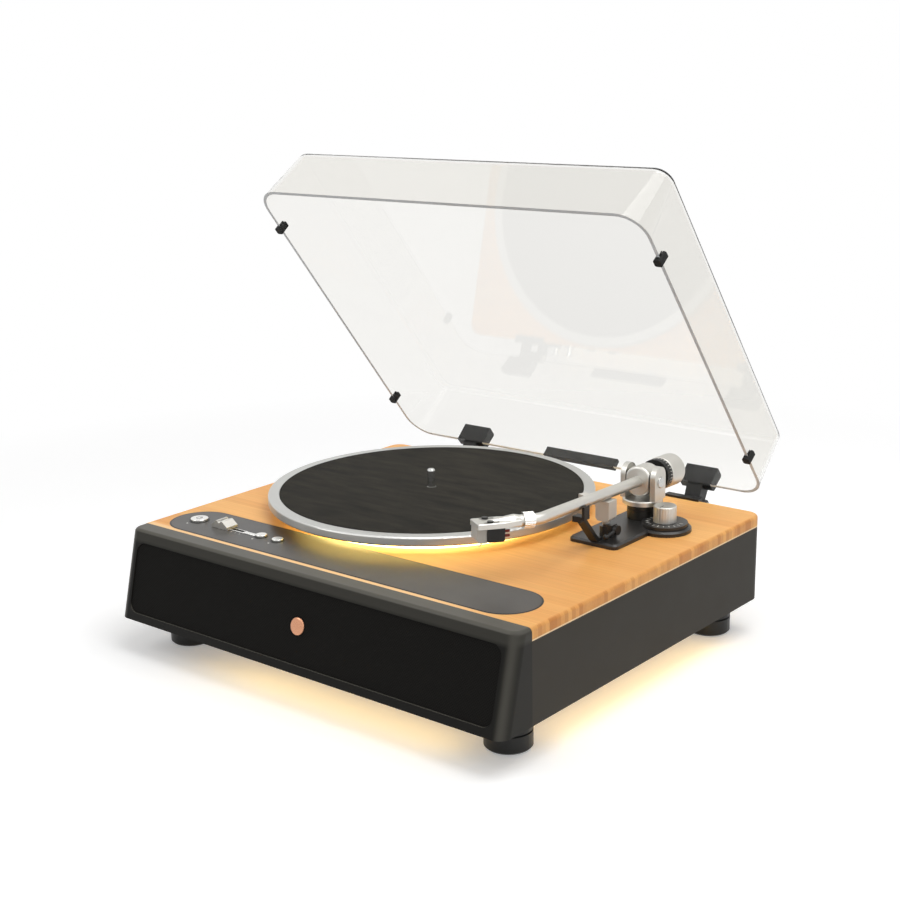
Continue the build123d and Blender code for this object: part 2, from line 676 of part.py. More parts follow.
def volume_slider():
    """Faceted slider cap on a flat stem through the slot."""
    foot, top = STRIP_TOP + BUTTON_GAP, STRIP_TOP + SLIDER_HEIGHT
    half, ridge = SLIDER_LENGTH / 2, SLIDER_LENGTH / 5
    low = foot + SLIDER_HEIGHT / 3
    points = [(-half, foot), (half, foot), (half, low), (ridge, top), (-ridge, top), (-half, low)]
    cap = extrude(Plane.XZ * Polygon(*points, align=None), amount=SLIDER_WIDTH / 2, both=True)
    cap -= Pos(0, 0, top) * Rot(90, 0, 0) * Cylinder(ridge / 2, SLIDER_WIDTH)
    stem = SLIDER_STEM / 2
    cap += slab(-stem, stem, -stem, stem, BOARD_TOP + BOARD_THICKNESS + BUTTON_GAP, foot)
    return Pos(SLIDER_X, STRIP_Y, 0) * cap


def control_board():
    """Switch board in the top's window, standing on the floor of its own tray."""
    x0, x1, y0, y1 = board_window()
    gap = STRIP_GAP
    board = slab(x0 + gap, x1 - gap, y0 + gap, y1 - gap, BOARD_TOP, BOARD_TOP + BOARD_THICKNESS)
    edge = BOARD_THICKNESS
    for y in (y0 + gap, y1 - gap - edge):
        board += slab(x0 + gap, x1 - gap, y, y + edge, BOARD_TOP, STRIP_UNDER)
    return board


# Platter and drive


def platter():
    """Cast platter: recessed plate for the mat, rolled rim and a skirt below."""
    rim_top = TOP_Z + PLATTER_RIM_TOP
    skirt = rim_top - PLATTER_RIM_HEIGHT
    recess_r = MAT_R + MAT_GAP
    wall_r = PLATTER_R - PLATTER_RIM_WALL
    body = lathe(
        (SHAFT_R + PRESS_GAP, PLATE_UNDER), (wall_r, PLATE_UNDER), (wall_r, skirt), (PLATTER_R, skirt),
        (PLATTER_R, rim_top), (recess_r, rim_top), (recess_r, MAT_SEAT), (SHAFT_R + PRESS_GAP, MAT_SEAT))
    return Pos(PLATTER_X, PLATTER_Y, 0) * fillet(circles(body, PLATTER_R), PLATTER_EDGE_R)


def slip_mat():
    """Felt mat in the platter's recess."""
    hole = SHAFT_R + MAT_GAP
    return Pos(PLATTER_X, PLATTER_Y, 0) * ring(hole, MAT_R, MAT_SEAT, MAT_TOP)


def sub_platter():
    """Spoked drive wheel under the platter, with the rim that the belt runs on."""
    top, foot = PLATE_UNDER, TOP_Z + DRIVE_RIM_FOOT
    inner = DRIVE_RIM_R - DRIVE_RIM_WALL
    wheel = ring(inner, DRIVE_RIM_R, foot, top)
    wheel += ring(SHAFT_R + PRESS_GAP, HUB_R, TOP_Z + HUB_FOOT, top)
    for k in range(SPOKES):
        spoke = slab(HUB_R - DRIVE_RIM_WALL, inner + DRIVE_RIM_WALL / 2, -HUB_R / 2, HUB_R / 2, foot, top)
        wheel += Rot(0, 0, 360 * k / SPOKES) * spoke
    return Pos(PLATTER_X, PLATTER_Y, 0) * wheel


def spindle_shaft():
    """Ground shaft from the thrust ball to a shoulder level with the mat, and the domed spindle above it."""
    tip = MAT_TOP + SPINDLE_ABOVE_MAT
    shaft = post(PLATTER_X, PLATTER_Y, TOP_Z - SHAFT_DEPTH, MAT_TOP, SHAFT_R)
    shaft += post(PLATTER_X, PLATTER_Y, MAT_TOP, tip, SPINDLE_R)
    return fillet(shaft.edges().group_by(Axis.Z)[-1], SPINDLE_TIP_R)


def bearing_housing():
    """Flanged housing let through the top plate, with a pocket for the thrust ball."""
    foot, top = TOP_Z - SHAFT_DEPTH, TOP_Z + HOUSING_FLANGE
    pocket = foot - 2 * BALL_R - PRESS_GAP
    low, bore = pocket - HOUSING_FLOOR, BUSH_R + PRESS_GAP
    body = lathe((0, low), (HOUSING_R, low), (HOUSING_R, TOP_Z), (HOUSING_FLANGE_R, TOP_Z),
                 (HOUSING_FLANGE_R, top), (bore, top), (bore, foot), (BALL_R + RUNNING_GAP, foot),
                 (BALL_R + RUNNING_GAP, pocket), (0, pocket))
    return Pos(PLATTER_X, PLATTER_Y, 0) * body


def bearing_bush():
    """Bronze bush that the shaft turns in."""
    bore, foot, top = SHAFT_R + RUNNING_GAP, TOP_Z - SHAFT_DEPTH, TOP_Z + HOUSING_FLANGE
    return Pos(PLATTER_X, PLATTER_Y, 0) * ring(bore, BUSH_R, foot, top)


def thrust_ball():
    """Ball that carries the shaft's end."""
    return Pos(PLATTER_X, PLATTER_Y, TOP_Z - SHAFT_DEPTH - BALL_R - PRESS_GAP / 2) * Sphere(BALL_R)


def belt_outline(gap):
    """Face inside a taut loop round the drive rim and the pulley, grown by a gap."""
    big, small = DRIVE_RIM_R + gap, PULLEY_R + gap
    lean = degrees(atan2(big - small, PULLEY_DISTANCE))
    ends = []
    for side in (1, -1):
        direction = radians(PULLEY_ANGLE + side * (90 - lean))
        for x, y, radius in ((PLATTER_X, PLATTER_Y, big), (PULLEY_X, PULLEY_Y, small)):
            ends.append((x + radius * cos(direction), y + radius * sin(direction)))
    loop = Pos(PLATTER_X, PLATTER_Y) * Circle(big) + Pos(PULLEY_X, PULLEY_Y) * Circle(small)
    return loop + Polygon(ends[0], ends[2], ends[3], ends[1], align=None)


def drive_belt():
    """Flat belt round the drive rim and the pulley."""
    loop = belt_outline(BELT_GAP + BELT_THICKNESS) - belt_outline(BELT_GAP)
    return Pos(0, 0, TOP_Z + BELT_FOOT) * extrude(loop, amount=BELT_HEIGHT)


def motor_pulley():
    """Flanged pulley on the motor's shaft."""
    low, high = TOP_Z + BELT_FOOT - BELT_GAP, TOP_Z + BELT_FOOT + BELT_HEIGHT + BELT_GAP
    bore, rim = MOTOR_SHAFT_R + RUNNING_GAP, PULLEY_FLANGE_R
    body = lathe((bore, low - PULLEY_FLANGE), (rim, low - PULLEY_FLANGE), (rim, low), (PULLEY_R, low),
                 (PULLEY_R, high), (rim, high), (rim, high + PULLEY_FLANGE), (bore, high + PULLEY_FLANGE))
    return Pos(PULLEY_X, PULLEY_Y, 0) * body


def drive_motor():
    """Motor can hung under the top by its plate, with its shaft up through the pulley."""
    half = MOTOR_PLATE_SIZE / 2
    plate = slab(-half, half, -MOTOR_R, MOTOR_R, DECK_Z - MOTOR_PLATE, DECK_Z)
    body = plate + post(0, 0, DECK_Z - MOTOR_PLATE - MOTOR_HEIGHT, DECK_Z - MOTOR_PLATE, MOTOR_R)
    body += post(0, 0, DECK_Z, TOP_Z + BELT_FOOT + BELT_HEIGHT, MOTOR_SHAFT_R)
    return Pos(PULLEY_X, PULLEY_Y, 0) * body


def light_ring():
    """Amber light guide on the top under the platter's rim."""
    inner, top = LIGHT_RING_R - LIGHT_RING_WIDTH, TOP_Z + LIGHT_RING_HEIGHT
    guide = Pos(PLATTER_X, PLATTER_Y, 0) * ring(inner, LIGHT_RING_R, TOP_Z, top)
    return guide - strip_outline(STRIP_GAP, TOP_Z, STRIP_TOP + STRIP_GAP)


# Tonearm


def arm_base():
    """Moulded base plate under the arm, with a raised disc for the anti-skate knob."""
    blade = Polygon((-BASE_LEFT, BASE_LEFT / 2), (-BASE_LEFT, -BASE_FRONT), (BASE_RIGHT, -BASE_FRONT),
                    (BASE_RIGHT, BASE_LEFT / 2), align=None)
    blade = fillet(blade.vertices(), BASE_CORNER_R)
    outline = blade + Circle(BASE_LEFT) + Pos(KNOB_OFFSET_X, KNOB_OFFSET_Y) * Circle(KNOB_DISC_R)
    plate = extrude(outline, amount=BASE_THICKNESS)
    plate = chamfer(plate.faces().sort_by(Axis.Z)[-1].edges(), BASE_CHAMFER)
    plate = Pos(PIVOT_X, PIVOT_Y, TOP_Z) * plate
    plate += post(KNOB_X, KNOB_Y, BASE_TOP, KNOB_SEAT, KNOB_DISC_R - BASE_CHAMFER * 2)
    plate -= post(PIVOT_X, PIVOT_Y, BASE_TOP, KNOB_SEAT, PILLAR_R + STACK_GAP)
    plate -= post(KNOB_X, KNOB_Y, TOP_Z + BASE_CHAMFER, KNOB_SEAT, KNOB_STEM_R + RUNNING_GAP)
    plate -= post(PIVOT_X, PIVOT_Y, TOP_Z, BASE_TOP, YOKE_SHAFT_R + RUNNING_GAP)
    x, y = lift_place()
    bore_z = TOP_Z + LEVER_AXIS_HEIGHT
    wall_top = bore_z + LEVER_HUB_R
    plate += post(x, y, BASE_TOP, TOP_Z + LIFT_POST_TOP, LIFT_POST_R)
    plate += slab(x, x + LEVER_HUB_R * 2, y - LEVER_HUB_R, y + LEVER_HUB_R, BASE_TOP, wall_top)
    plate -= post(x, y, BASE_TOP, max(wall_top, TOP_Z + LIFT_POST_TOP), LIFT_PISTON_R + RUNNING_GAP)
    return plate - rod((x + LIFT_POST_R, y, bore_z), (1, 0, 0), LEVER_HUB_R * 2, LEVER_SHAFT_R + RUNNING_GAP)


def arm_pillar():
    """Pillar that the yoke turns in, with a collar line near its top."""
    top, bore = TOP_Z + PILLAR_TOP, YOKE_SHAFT_R + RUNNING_GAP
    waist, line = PILLAR_R - BASE_CHAMFER / 2, TOP_Z + PILLAR_TOP - 2 * BASE_CHAMFER
    under = line - BASE_CHAMFER
    body = lathe((bore, BASE_TOP), (PILLAR_R, BASE_TOP), (PILLAR_R, under), (waist, under), (waist, line),
                 (PILLAR_R, line), (PILLAR_R, top), (bore, top))
    return Pos(PIVOT_X, PIVOT_Y, 0) * body


def gimbal_yoke():
    """Two cheeks on a round base, with the upright shaft that turns in the pillar."""
    low = PILLAR_TOP + STACK_GAP - ARM_AXIS_HEIGHT
    deck, inner = low + YOKE_BASE, DRUM_FLAT + YOKE_GAP
    base = post(0, 0, low, deck, YOKE_BASE_R)
    base = fillet(base.edges().group_by(Axis.Z)[-1], YOKE_BASE / 4)
    yoke = base + post(0, 0, BASE_CHAMFER - ARM_AXIS_HEIGHT, low, YOKE_SHAFT_R)
    for side in (-1, 1):
        cheek = slab(inner, inner + CHEEK_THICKNESS, -CHEEK_R, CHEEK_R, deck, CHEEK_RISE)
        cheek += rod((inner, 0, CHEEK_RISE), (1, 0, 0), CHEEK_THICKNESS, CHEEK_R)
        cheek -= rod((inner, 0, 0), (1, 0, 0), CHEEK_THICKNESS, PIVOT_PIN_R + PRESS_GAP)
        cheek = cheek & post(0, 0, low, CHEEK_RISE + CHEEK_R, YOKE_BASE_R + CHEEK_THICKNESS)
        yoke += cheek if side == 1 else Rot(0, 0, 180) * cheek
    return ARM_SWUNG * yoke


def pivot_screws():
    """Point screws through the cheeks into the drum, with round caps."""
    outer = DRUM_FLAT + YOKE_GAP + CHEEK_THICKNESS
    inner = DRUM_FLAT - PIVOT_BITE
    screw = rod((inner, 0, 0), (1, 0, 0), outer - inner, PIVOT_PIN_R)
    cap = rod((outer, 0, 0), (1, 0, 0), PIVOT_CAP, PIVOT_CAP_R)
    cap = fillet(cap.edges().group_by(Axis.X)[-1], PIVOT_CAP / 2)
    screw += cap
    return ARM_SWUNG * (Part() + [screw, Rot(0, 0, 180) * screw])


def arm_drum():
    """Round bearing block that carries the tube in front and the stub behind."""
    body = rod((0, -DRUM_FRONT, 0), (0, 1, 0), DRUM_FRONT + DRUM_BACK, DRUM_R)
    body = fillet(body.edges().filter_by(GeomType.CIRCLE), DRUM_EDGE_R)
    body = body & slab(-DRUM_FLAT, DRUM_FLAT, -DRUM_FRONT, DRUM_BACK, -DRUM_R, DRUM_R)
    body -= rod((0, -DRUM_FRONT, 0), (0, 1, 0), DRUM_FRONT / 2, TUBE_R + PRESS_GAP)
    body -= rod((0, DRUM_BACK / 2, 0), (0, 1, 0), DRUM_BACK / 2, STUB_R + PRESS_GAP)
    hole = 2 * (PIVOT_BITE + RUNNING_GAP)
    for side in (-1, 1):
        body -= Pos(side * DRUM_FLAT, 0, 0) * Rot(0, 90, 0) * Cylinder(PIVOT_PIN_R + RUNNING_GAP, hole)
    return ARM_PLACE * body


def arm_tube():
    """Thin tube, straight from the drum and bent near the head."""
    bend, reach = radians(ARM_BEND), HEAD_RUN - COLLAR_TO_STYLUS
    end = (-reach * sin(bend), -TUBE_RUN - reach * cos(bend))
    path = FilletPolyline((0, -DRUM_FRONT / 2), (0, -TUBE_RUN), end, radius=ARM_BEND_R)
    wall = Circle(TUBE_R) - Circle(TUBE_R - TUBE_WALL)
    section = Plane(origin=(0, -DRUM_FRONT / 2, 0), x_dir=(1, 0, 0), z_dir=(0, -1, 0)) * wall
    return ARM_PLACE * sweep(section, path=path)


def headshell():
    """Flat shell with two mounting slots and a ridge that grows into the round neck inside the collar."""
    half, neck, high = HEADSHELL_WIDTH / 2, TUBE_R + 1, HEADSHELL_THICKNESS / 2
    nose, shoulder = -HEADSHELL_NOSE, HEADSHELL_SHOULDER
    outline = Polygon((-half, nose), (half, nose), (half, shoulder), (neck, HEADSHELL_NECK),
                      (-neck, HEADSHELL_NECK), (-half, shoulder), align=None)
    outline = fillet(outline.vertices().group_by(Axis.Y)[0], high / 2)
    slot_y = HOLDER_LENGTH - HEADSHELL_NOSE + CARTRIDGE_PITCH / 2 - HEADSHELL_SLOT
    for side in (-1, 1):
        slot = Rot(0, 0, 90) * SlotOverall(CARTRIDGE_PITCH, HEADSHELL_SLOT)
        outline -= Pos(side * CARTRIDGE_PITCH / 2, slot_y) * slot
    shell = Pos(0, 0, -high) * extrude(outline, amount=HEADSHELL_THICKNESS)
    shell = chamfer(shell.faces().sort_by(Axis.Z)[-1].outer_wire().edges(), high / 4)
    overlap = HEADSHELL_NECK - 2 * TUBE_R
    shell += rod((0, overlap, 0), (0, 1, 0), COLLAR_TO_STYLUS - overlap, TUBE_R)
    ridge = lathe((0, HEADSHELL_NOSE), (high, HEADSHELL_NOSE), (HEADSHELL_RIDGE_R, HEADSHELL_NECK - TUBE_R),
                  (TUBE_R, HEADSHELL_NECK), (0, HEADSHELL_NECK))
    ridge = Rot(-90, 0, 0) * ridge
    shell += ridge & slab(-half, half, nose, HEADSHELL_NECK, -high, HEADSHELL_RIDGE_R)
    return HEAD_PLACE * shell


def locking_collar():
    """Ring that locks the headshell to the tube, with a gripped outside."""
    collar = gripped(post(0, 0, 0, COLLAR_LENGTH, COLLAR_R), COLLAR_R, COLLAR_LENGTH)
    collar -= post(0, 0, 0, COLLAR_LENGTH, TUBE_R + RUNNING_GAP)
    return HEAD_PLACE * Pos(0, COLLAR_TO_STYLUS - COLLAR_LENGTH / 2, 0) * Rot(-90, 0, 0) * collar


def cartridge():
    """Cartridge body under the shell, with its two screws and four terminal pins."""
    top = -HEADSHELL_THICKNESS / 2
    front, half = HOLDER_LENGTH - HEADSHELL_NOSE, CARTRIDGE_WIDTH / 2
    back = front + CARTRIDGE_LENGTH
    body = slab(-half, half, front, back, top - CARTRIDGE_HEIGHT, top)
    body = chamfer(body.edges().filter_by(Axis.X).group_by(Axis.Z)[0], HEADSHELL_SLOT / 2)
    for side in (-1, 1):
        x = side * CARTRIDGE_PITCH / 2
        body += post(x, front + HEADSHELL_SLOT, top, -top, HEADSHELL_SLOT / 2 - BUTTON_GAP)
        body += post(x, front + HEADSHELL_SLOT, -top, -top + HEADSHELL_SLOT / 2, HEADSHELL_SLOT)
        for row in (1, 2):
            start = (side * half / 2, back, top - row * CARTRIDGE_HEIGHT / 3)
            body += rod(start, (0, 1, 0), HEADSHELL_SLOT, CANTILEVER_R)
    return HEAD_PLACE * body


def stylus_holder():
    """Plug-in stylus block at the front of the cartridge, with its cantilever and tip."""
    top = -HEADSHELL_THICKNESS / 2 - RUNNING_GAP
    half, back = HOLDER_WIDTH / 2, HOLDER_LENGTH - HEADSHELL_NOSE
    foot = top - HOLDER_HEIGHT
    body = slab(-half, half, -HEADSHELL_NOSE, back, foot, top)
    body = chamfer(body.edges().filter_by(Axis.X).sort_by(Axis.Z)[0], HOLDER_WIDTH / 5)
    rise = foot + CANTILEVER_R + STYLUS_DROP
    cantilever = Vector(0, -back, -rise)
    body += rod((0, back, foot + CANTILEVER_R), cantilever, cantilever.length - CANTILEVER_R, CANTILEVER_R)
    body += Pos(0, 0, -STYLUS_DROP) * Cone(0.1, CANTILEVER_R, 2 * CANTILEVER_R, align=STANDING)
    return HEAD_PLACE * body


def weight_stub():
    """Threaded stub behind the drum."""
    start = DRUM_BACK / 2
    stub = rod((0, start, 0), (0, 1, 0), STUB_LENGTH - start, STUB_R)
    return ARM_PLACE * chamfer(stub.edges().group_by(Axis.Y)[-1], STUB_R / 4)


def weight_start():
    """Distance from the pivot to the front of the counterweight."""
    return DIAL_FROM_PIVOT + DIAL_LENGTH + STACK_GAP


def on_stub(shape, start):
    """Place a piece that stands on Z along the stub, its foot at a distance behind the pivot."""
    return ARM_PLACE * Pos(0, start, 0) * Rot(-90, 0, 0) * shape


def weight_bush():
    """Sleeve that the counterweight and the dial turn on, guided by the stub."""
    length = DIAL_LENGTH + STACK_GAP + WEIGHT_LENGTH
    bore = STUB_R + RUNNING_GAP
    return on_stub(ring(bore, BUSH_SLEEVE_R, 0, length), DIAL_FROM_PIVOT)


def counterweight():
    """Turned weight with eased edges and a gripped band."""
    bore = BUSH_SLEEVE_R + RUNNING_GAP
    body = ring(bore, WEIGHT_R, 0, WEIGHT_LENGTH)
    return on_stub(fillet(circles(body, WEIGHT_R), YOKE_GAP), weight_start())


def force_dial():
    """Ring with a gripped edge that reads the tracking force."""
    bore = BUSH_SLEEVE_R + RUNNING_GAP
    body = gripped(post(0, 0, 0, DIAL_LENGTH, DIAL_R), DIAL_R, DIAL_LENGTH / 2)
    return on_stub(body - post(0, 0, 0, DIAL_LENGTH, bore), DIAL_FROM_PIVOT)


def anti_skate_knob():
    """Gripped knob on the base's disc."""
    foot = KNOB_SEAT + STACK_GAP
    body = post(0, 0, 0, KNOB_HEIGHT, KNOB_R)
    body = chamfer(body.edges().group_by(Axis.Z)[-1], STACK_GAP * 2)
    body = gripped(body, KNOB_R, KNOB_HEIGHT)
    body += post(0, 0, TOP_Z + BASE_CHAMFER + STACK_GAP - foot, 0, KNOB_STEM_R)
    return Pos(KNOB_X, KNOB_Y, foot) * body


def lift_place():
    """Plan place of the lift's piston, under the tube at rest."""
    turn = radians(ARM_YAW)
    return PIVOT_X + LIFT_RADIUS * sin(turn), PIVOT_Y - LIFT_RADIUS * cos(turn)


def lift_top():
    """Height of the lift platform's top at rest, just under the raised tube."""
    tilt = radians(ARM_LIFT)
    nearest = LIFT_RADIUS - LIFT_BLOCK / 2
    return ARM_Z + nearest * tan(tilt) - TUBE_R / cos(tilt) - LIFT_GAP


def lift_platform():
    """Curved lift bar that follows the arm's swing, with a block and a piston under the parked arm."""
    inner, outer, top = LIFT_RADIUS - LIFT_WIDTH / 2, LIFT_RADIUS + LIFT_WIDTH / 2, lift_top()
    bar = ring(inner, outer, 0, LIFT_THICKNESS)
    sector = Polygon((0, 0), *[(-2 * outer * sin(radians(a)), -2 * outer * cos(radians(a)))
                               for a in (LIFT_ARC, LIFT_ARC / 2, 0)], align=None)
    bar = bar & extrude(sector, amount=LIFT_THICKNESS)
    bar = Pos(PIVOT_X, PIVOT_Y, top - LIFT_THICKNESS) * Rot(0, 0, ARM_YAW) * bar
    x, y = lift_place()
    half, foot = LIFT_BLOCK / 2, TOP_Z + LIFT_POST_TOP + LIFT_THICKNESS
    block = slab(-half, half, -half, half, foot, top)
    block = chamfer(block.edges().filter_by(Axis.Y).group_by(Axis.Z)[0], half / 3)
    piston = post(0, 0, BASE_TOP + LIFT_DROP + STACK_GAP, foot, LIFT_PISTON_R)
    return bar + Pos(x, y, 0) * Rot(0, 0, ARM_YAW) * block + Pos(x, y, 0) * piston


def cue_lever():
    """Lever at the side of the lift, with its cross shaft and a small paddle."""
    x, y = lift_place()
    z = TOP_Z + LEVER_AXIS_HEIGHT
    wall = x + 2 * LEVER_HUB_R
    hub = rod((wall + STACK_GAP, y, z), (1, 0, 0), LEVER_HUB, LEVER_HUB_R)
    shaft_start = x + LIFT_POST_R + STACK_GAP
    hub += rod((shaft_start, y, z), (1, 0, 0), wall + STACK_GAP - shaft_start, LEVER_SHAFT_R)
    run = Vector(0, -cos(radians(LEVER_DROP)), -sin(radians(LEVER_DROP)))
    start = Vector(wall + STACK_GAP + LEVER_HUB / 2, y, z)
    hub += rod(start, run, LEVER_LENGTH, LEVER_R)
    tip = start + run * LEVER_LENGTH
    return hub + Pos(tip) * Sphere(1.5 * LEVER_R)


def arm_rest():
    """Strap from the base to a seat under the tube, with a prong on the outer side."""
    start, high = BASE_FRONT - BASE_CORNER_R, ARM_AXIS_HEIGHT - TUBE_R
    seat_top = high - LIFT_GAP
    seat_low = seat_top - REST_STRAP
    foot = BASE_THICKNESS
    near, far = REST_RADIUS - REST_WIDTH / 2, REST_RADIUS + REST_WIDTH / 2
    half, t = REST_WIDTH / 2, REST_STRAP
    under = seat_low - t
    strap = side_profile(half, (-start + t, foot), (-start + t, foot + t), (-start - t, foot + t),
                         (-near, seat_low), (-near, seat_top), (-far, seat_top), (-far, under),
                         (-near - t, under), (-start - 2 * t, foot))
    reach = TUBE_R + LIFT_GAP
    strap += slab(-half, reach + REST_PRONG, -far, -near, seat_low, seat_top)
    prong = slab(reach, reach + REST_PRONG, -far, -near, seat_low, seat_top + REST_PRONG_HEIGHT)
    strap += chamfer(prong.edges().filter_by(Axis.Y).group_by(Axis.Z)[-1].sort_by(Axis.X)[0], REST_PRONG / 2)
    return Pos(PIVOT_X, PIVOT_Y, TOP_Z) * Rot(0, 0, ARM_YAW) * strap


# Dust cover and hinges, drawn shut


def opened(shape):
    """Turn a piece of the shut cover to the rest pose."""
    return shape.rotate(Axis((0, HINGE_Y, HINGE_Z), (1, 0, 0)), -COVER_ANGLE)


def cover_block(inset, z0):
    """Drafted block with rounded corners and top edge: the cover's outside, taken in by an inset."""
    width, depth = COVER_WIDTH - 2 * inset, COVER_DEPTH - 2 * inset
    corner, head_corner, draft = COVER_CORNER_R - inset, COVER_HEAD_R - inset, COVER_DRAFT
    height = COVER_HEIGHT - inset
    foot = RectangleRounded(width, depth, corner)
    head = RectangleRounded(width - 2 * draft, depth - 2 * draft, head_corner)
    body = loft([foot, Pos(0, 0, height) * head], ruled=True)
    body = fillet(body.faces().sort_by(Axis.Z)[-1].edges(), COVER_TOP_R - inset)
    return Pos(0, RIM_BACK - COVER_DEPTH / 2, RIM_Z + z0) * body


def dust_cover():
    """Clear moulded cover, open below."""
    return opened(cover_block(0, 0) - cover_block(COVER_WALL, 0))


def lid_bumpers():
    """Soft bumpers that grip the side rims and keep the cover off the top."""
    low, high = TOP_Z + BUMPER_GAP, RIM_Z + BUMPER_GRIP
    shell = cover_block(0, 0) - cover_block(COVER_WALL, 0)
    middle = COVER_WIDTH / 2 - COVER_WALL / 2
    face = RectangleRounded(BUMPER_WIDTH, BUMPER_LENGTH, BUMPER_WIDTH / 4)
    pad = Pos(0, 0, low) * extrude(face, amount=high - low)
    bumpers = []
    for side in (-1, 1):
        for share in BUMPER_PLACES:
            bumpers.append(Pos(side * middle, RIM_BACK - COVER_DEPTH * share, 0) * pad - shell)
    return opened(Part() + bumpers)


def rear_bar():
    """Dark stiffening bar behind the cover's rear rim."""
    half, near, far = REAR_BAR_LENGTH / 2, RIM_BACK + RUNNING_GAP, RIM_BACK + REAR_BAR_THICKNESS
    lean = COVER_DRAFT * REAR_BAR_HEIGHT / COVER_HEIGHT
    top = RIM_Z + REAR_BAR_HEIGHT
    bar = side_profile(half, (near, RIM_Z), (far, RIM_Z), (far - lean, top), (near - lean, top))
    return opened(Pos(REAR_BAR_OFFSET_X, 0, 0) * bar)


def hinge_pair(shape):
    """Copies of a hinge piece, drawn about x = 0, at both hinges."""
    half = HINGE_SPREAD / 2
    return Part() + [Pos(HINGE_OFFSET_X + side * half, 0, 0) * shape for side in (-1, 1)]


def hinge_brackets():
    """Brackets on the cabinet's back: a plate with a lip over the top and two ears for the pin."""
    rise = TOP_Z + BRACKET_RISE
    low = TOP_Z - BRACKET_DROP
    plate_back = BACK_Y + BRACKET_PLATE
    half = BRACKET_WIDTH / 2
    lip_y = BACK_Y - BRACKET_LIP
    bracket = slab(-half, half, BACK_Y, plate_back, low, rise)
    bracket += slab(-half, half, lip_y, BACK_Y, TOP_Z, rise)
    inner = KNUCKLE_WIDTH / 2 + KNUCKLE_GAP
    for side in (-1, 1):
        near, far = sorted((side * inner, side * (inner + EAR_THICKNESS)))
        ear = slab(near, far, BACK_Y, HINGE_Y, HINGE_Z - KNUCKLE_R, HINGE_Z + KNUCKLE_R)
        bracket += ear + rod((near, HINGE_Y, HINGE_Z), (1, 0, 0), EAR_THICKNESS, KNUCKLE_R)
    bracket -= rod((-half, HINGE_Y, HINGE_Z), (1, 0, 0), BRACKET_WIDTH, HINGE_PIN_R + PRESS_GAP)
    return hinge_pair(bracket)


def hinge_pins():
    """Pins through the ears, with round heads."""
    half = KNUCKLE_WIDTH / 2 + KNUCKLE_GAP + EAR_THICKNESS
    pin = rod((-half, HINGE_Y, HINGE_Z), (1, 0, 0), 2 * half, HINGE_PIN_R)
    for side in (-1, 1):
        pin += rod((side * half, HINGE_Y, HINGE_Z), (side, 0, 0), HINGE_PIN_R / 2, 1.5 * HINGE_PIN_R)
    return hinge_pair(pin)


def hinge_leaves():
    """Sockets behind the cover's rear wall, each with a neck down to its knuckle."""
    low = TOP_Z + BRACKET_RISE + KNUCKLE_GAP
    socket_back = RIM_BACK + LEAF_THICKNESS
    half = LEAF_WIDTH / 2
    socket = slab(-half, half, RIM_BACK - COVER_DRAFT, socket_back, RIM_Z, RIM_Z + LEAF_HEIGHT)
    socket = fillet(socket.edges().filter_by(Axis.X).group_by(Axis.Y)[-1], HINGE_PIN_R)
    neck_half = KNUCKLE_WIDTH / 2
    clear_y = BACK_Y + BRACKET_PLATE + KNUCKLE_GAP
    neck = side_profile(neck_half, (RIM_BACK, low), (clear_y, low), (HINGE_Y - KNUCKLE_R, HINGE_Z),
                        (HINGE_Y + KNUCKLE_R, HINGE_Z), (socket_back, RIM_Z + LEAF_HEIGHT / 2),
                        (RIM_BACK, RIM_Z + LEAF_HEIGHT / 2))
    neck += rod((-neck_half, HINGE_Y, HINGE_Z), (1, 0, 0), KNUCKLE_WIDTH, KNUCKLE_R)
    neck -= rod((-neck_half, HINGE_Y, HINGE_Z), (1, 0, 0), KNUCKLE_WIDTH, HINGE_PIN_R + RUNNING_GAP)
    return opened(hinge_pair(socket + neck) - cover_block(0, 0))


# Rear connectors and boards


def jack_places():
    """X of the two phono jacks, the aux jack and the power jack."""
    return [PLATE_X + k * PHONO_PITCH for k in (-2, -1, 0.5, 2)]


def connector_plate():
    """Rear plate let into the back, with a hole for each jack."""
    half_x, half_z, y0 = PLATE_WIDTH / 2 - STRIP_GAP, PLATE_HEIGHT / 2 - STRIP_GAP, BACK_Y - PLATE_THICKNESS
    plate = slab(PLATE_X - half_x, PLATE_X + half_x, y0, BACK_Y, PLATE_Z - half_z, PLATE_Z + half_z)
    for x in jack_places():
        plate -= rod((x, y0, PLATE_Z), (0, 1, 0), PLATE_THICKNESS, AUX_NOSE_R + RUNNING_GAP)
    return plate


def jack(nose_r, proud, bore_r, depth, flange_r=0.0):
    """Jack drawn along Z: a body inside the plate, a nose through it and a blind bore from its mouth."""
    body = Pos(0, 0, -PLATE_THICKNESS - JACK_BODY / 2) * Box(JACK_BODY, JACK_BODY, JACK_BODY)
    body += post(0, 0, -PLATE_THICKNESS, proud, AUX_NOSE_R if nose_r > AUX_NOSE_R else nose_r)
    if flange_r:
        body += post(0, 0, 0, JACK_PROUD, flange_r)
        body += post(0, 0, JACK_PROUD, proud, nose_r)
    return body - post(0, 0, proud - depth, proud, bore_r)


def on_back(shape, x):
    """Place a jack in the plate, its mouth to the back."""
    return Pos(x, BACK_Y, PLATE_Z) * Rot(-90, 0, 0) * shape


def phono_jacks():
    """Left and right line-out jacks."""
    piece = jack(PHONO_R, PHONO_LENGTH + JACK_PROUD, PHONO_BORE_R, PHONO_LENGTH, PHONO_FLANGE_R)
    return Part() + [on_back(piece, x) for x in jack_places()[:2]]


def aux_jack():
    """Small line-in jack."""
    return on_back(jack(AUX_NOSE_R, JACK_PROUD, AUX_BORE_R, AUX_DEPTH), jack_places()[2])


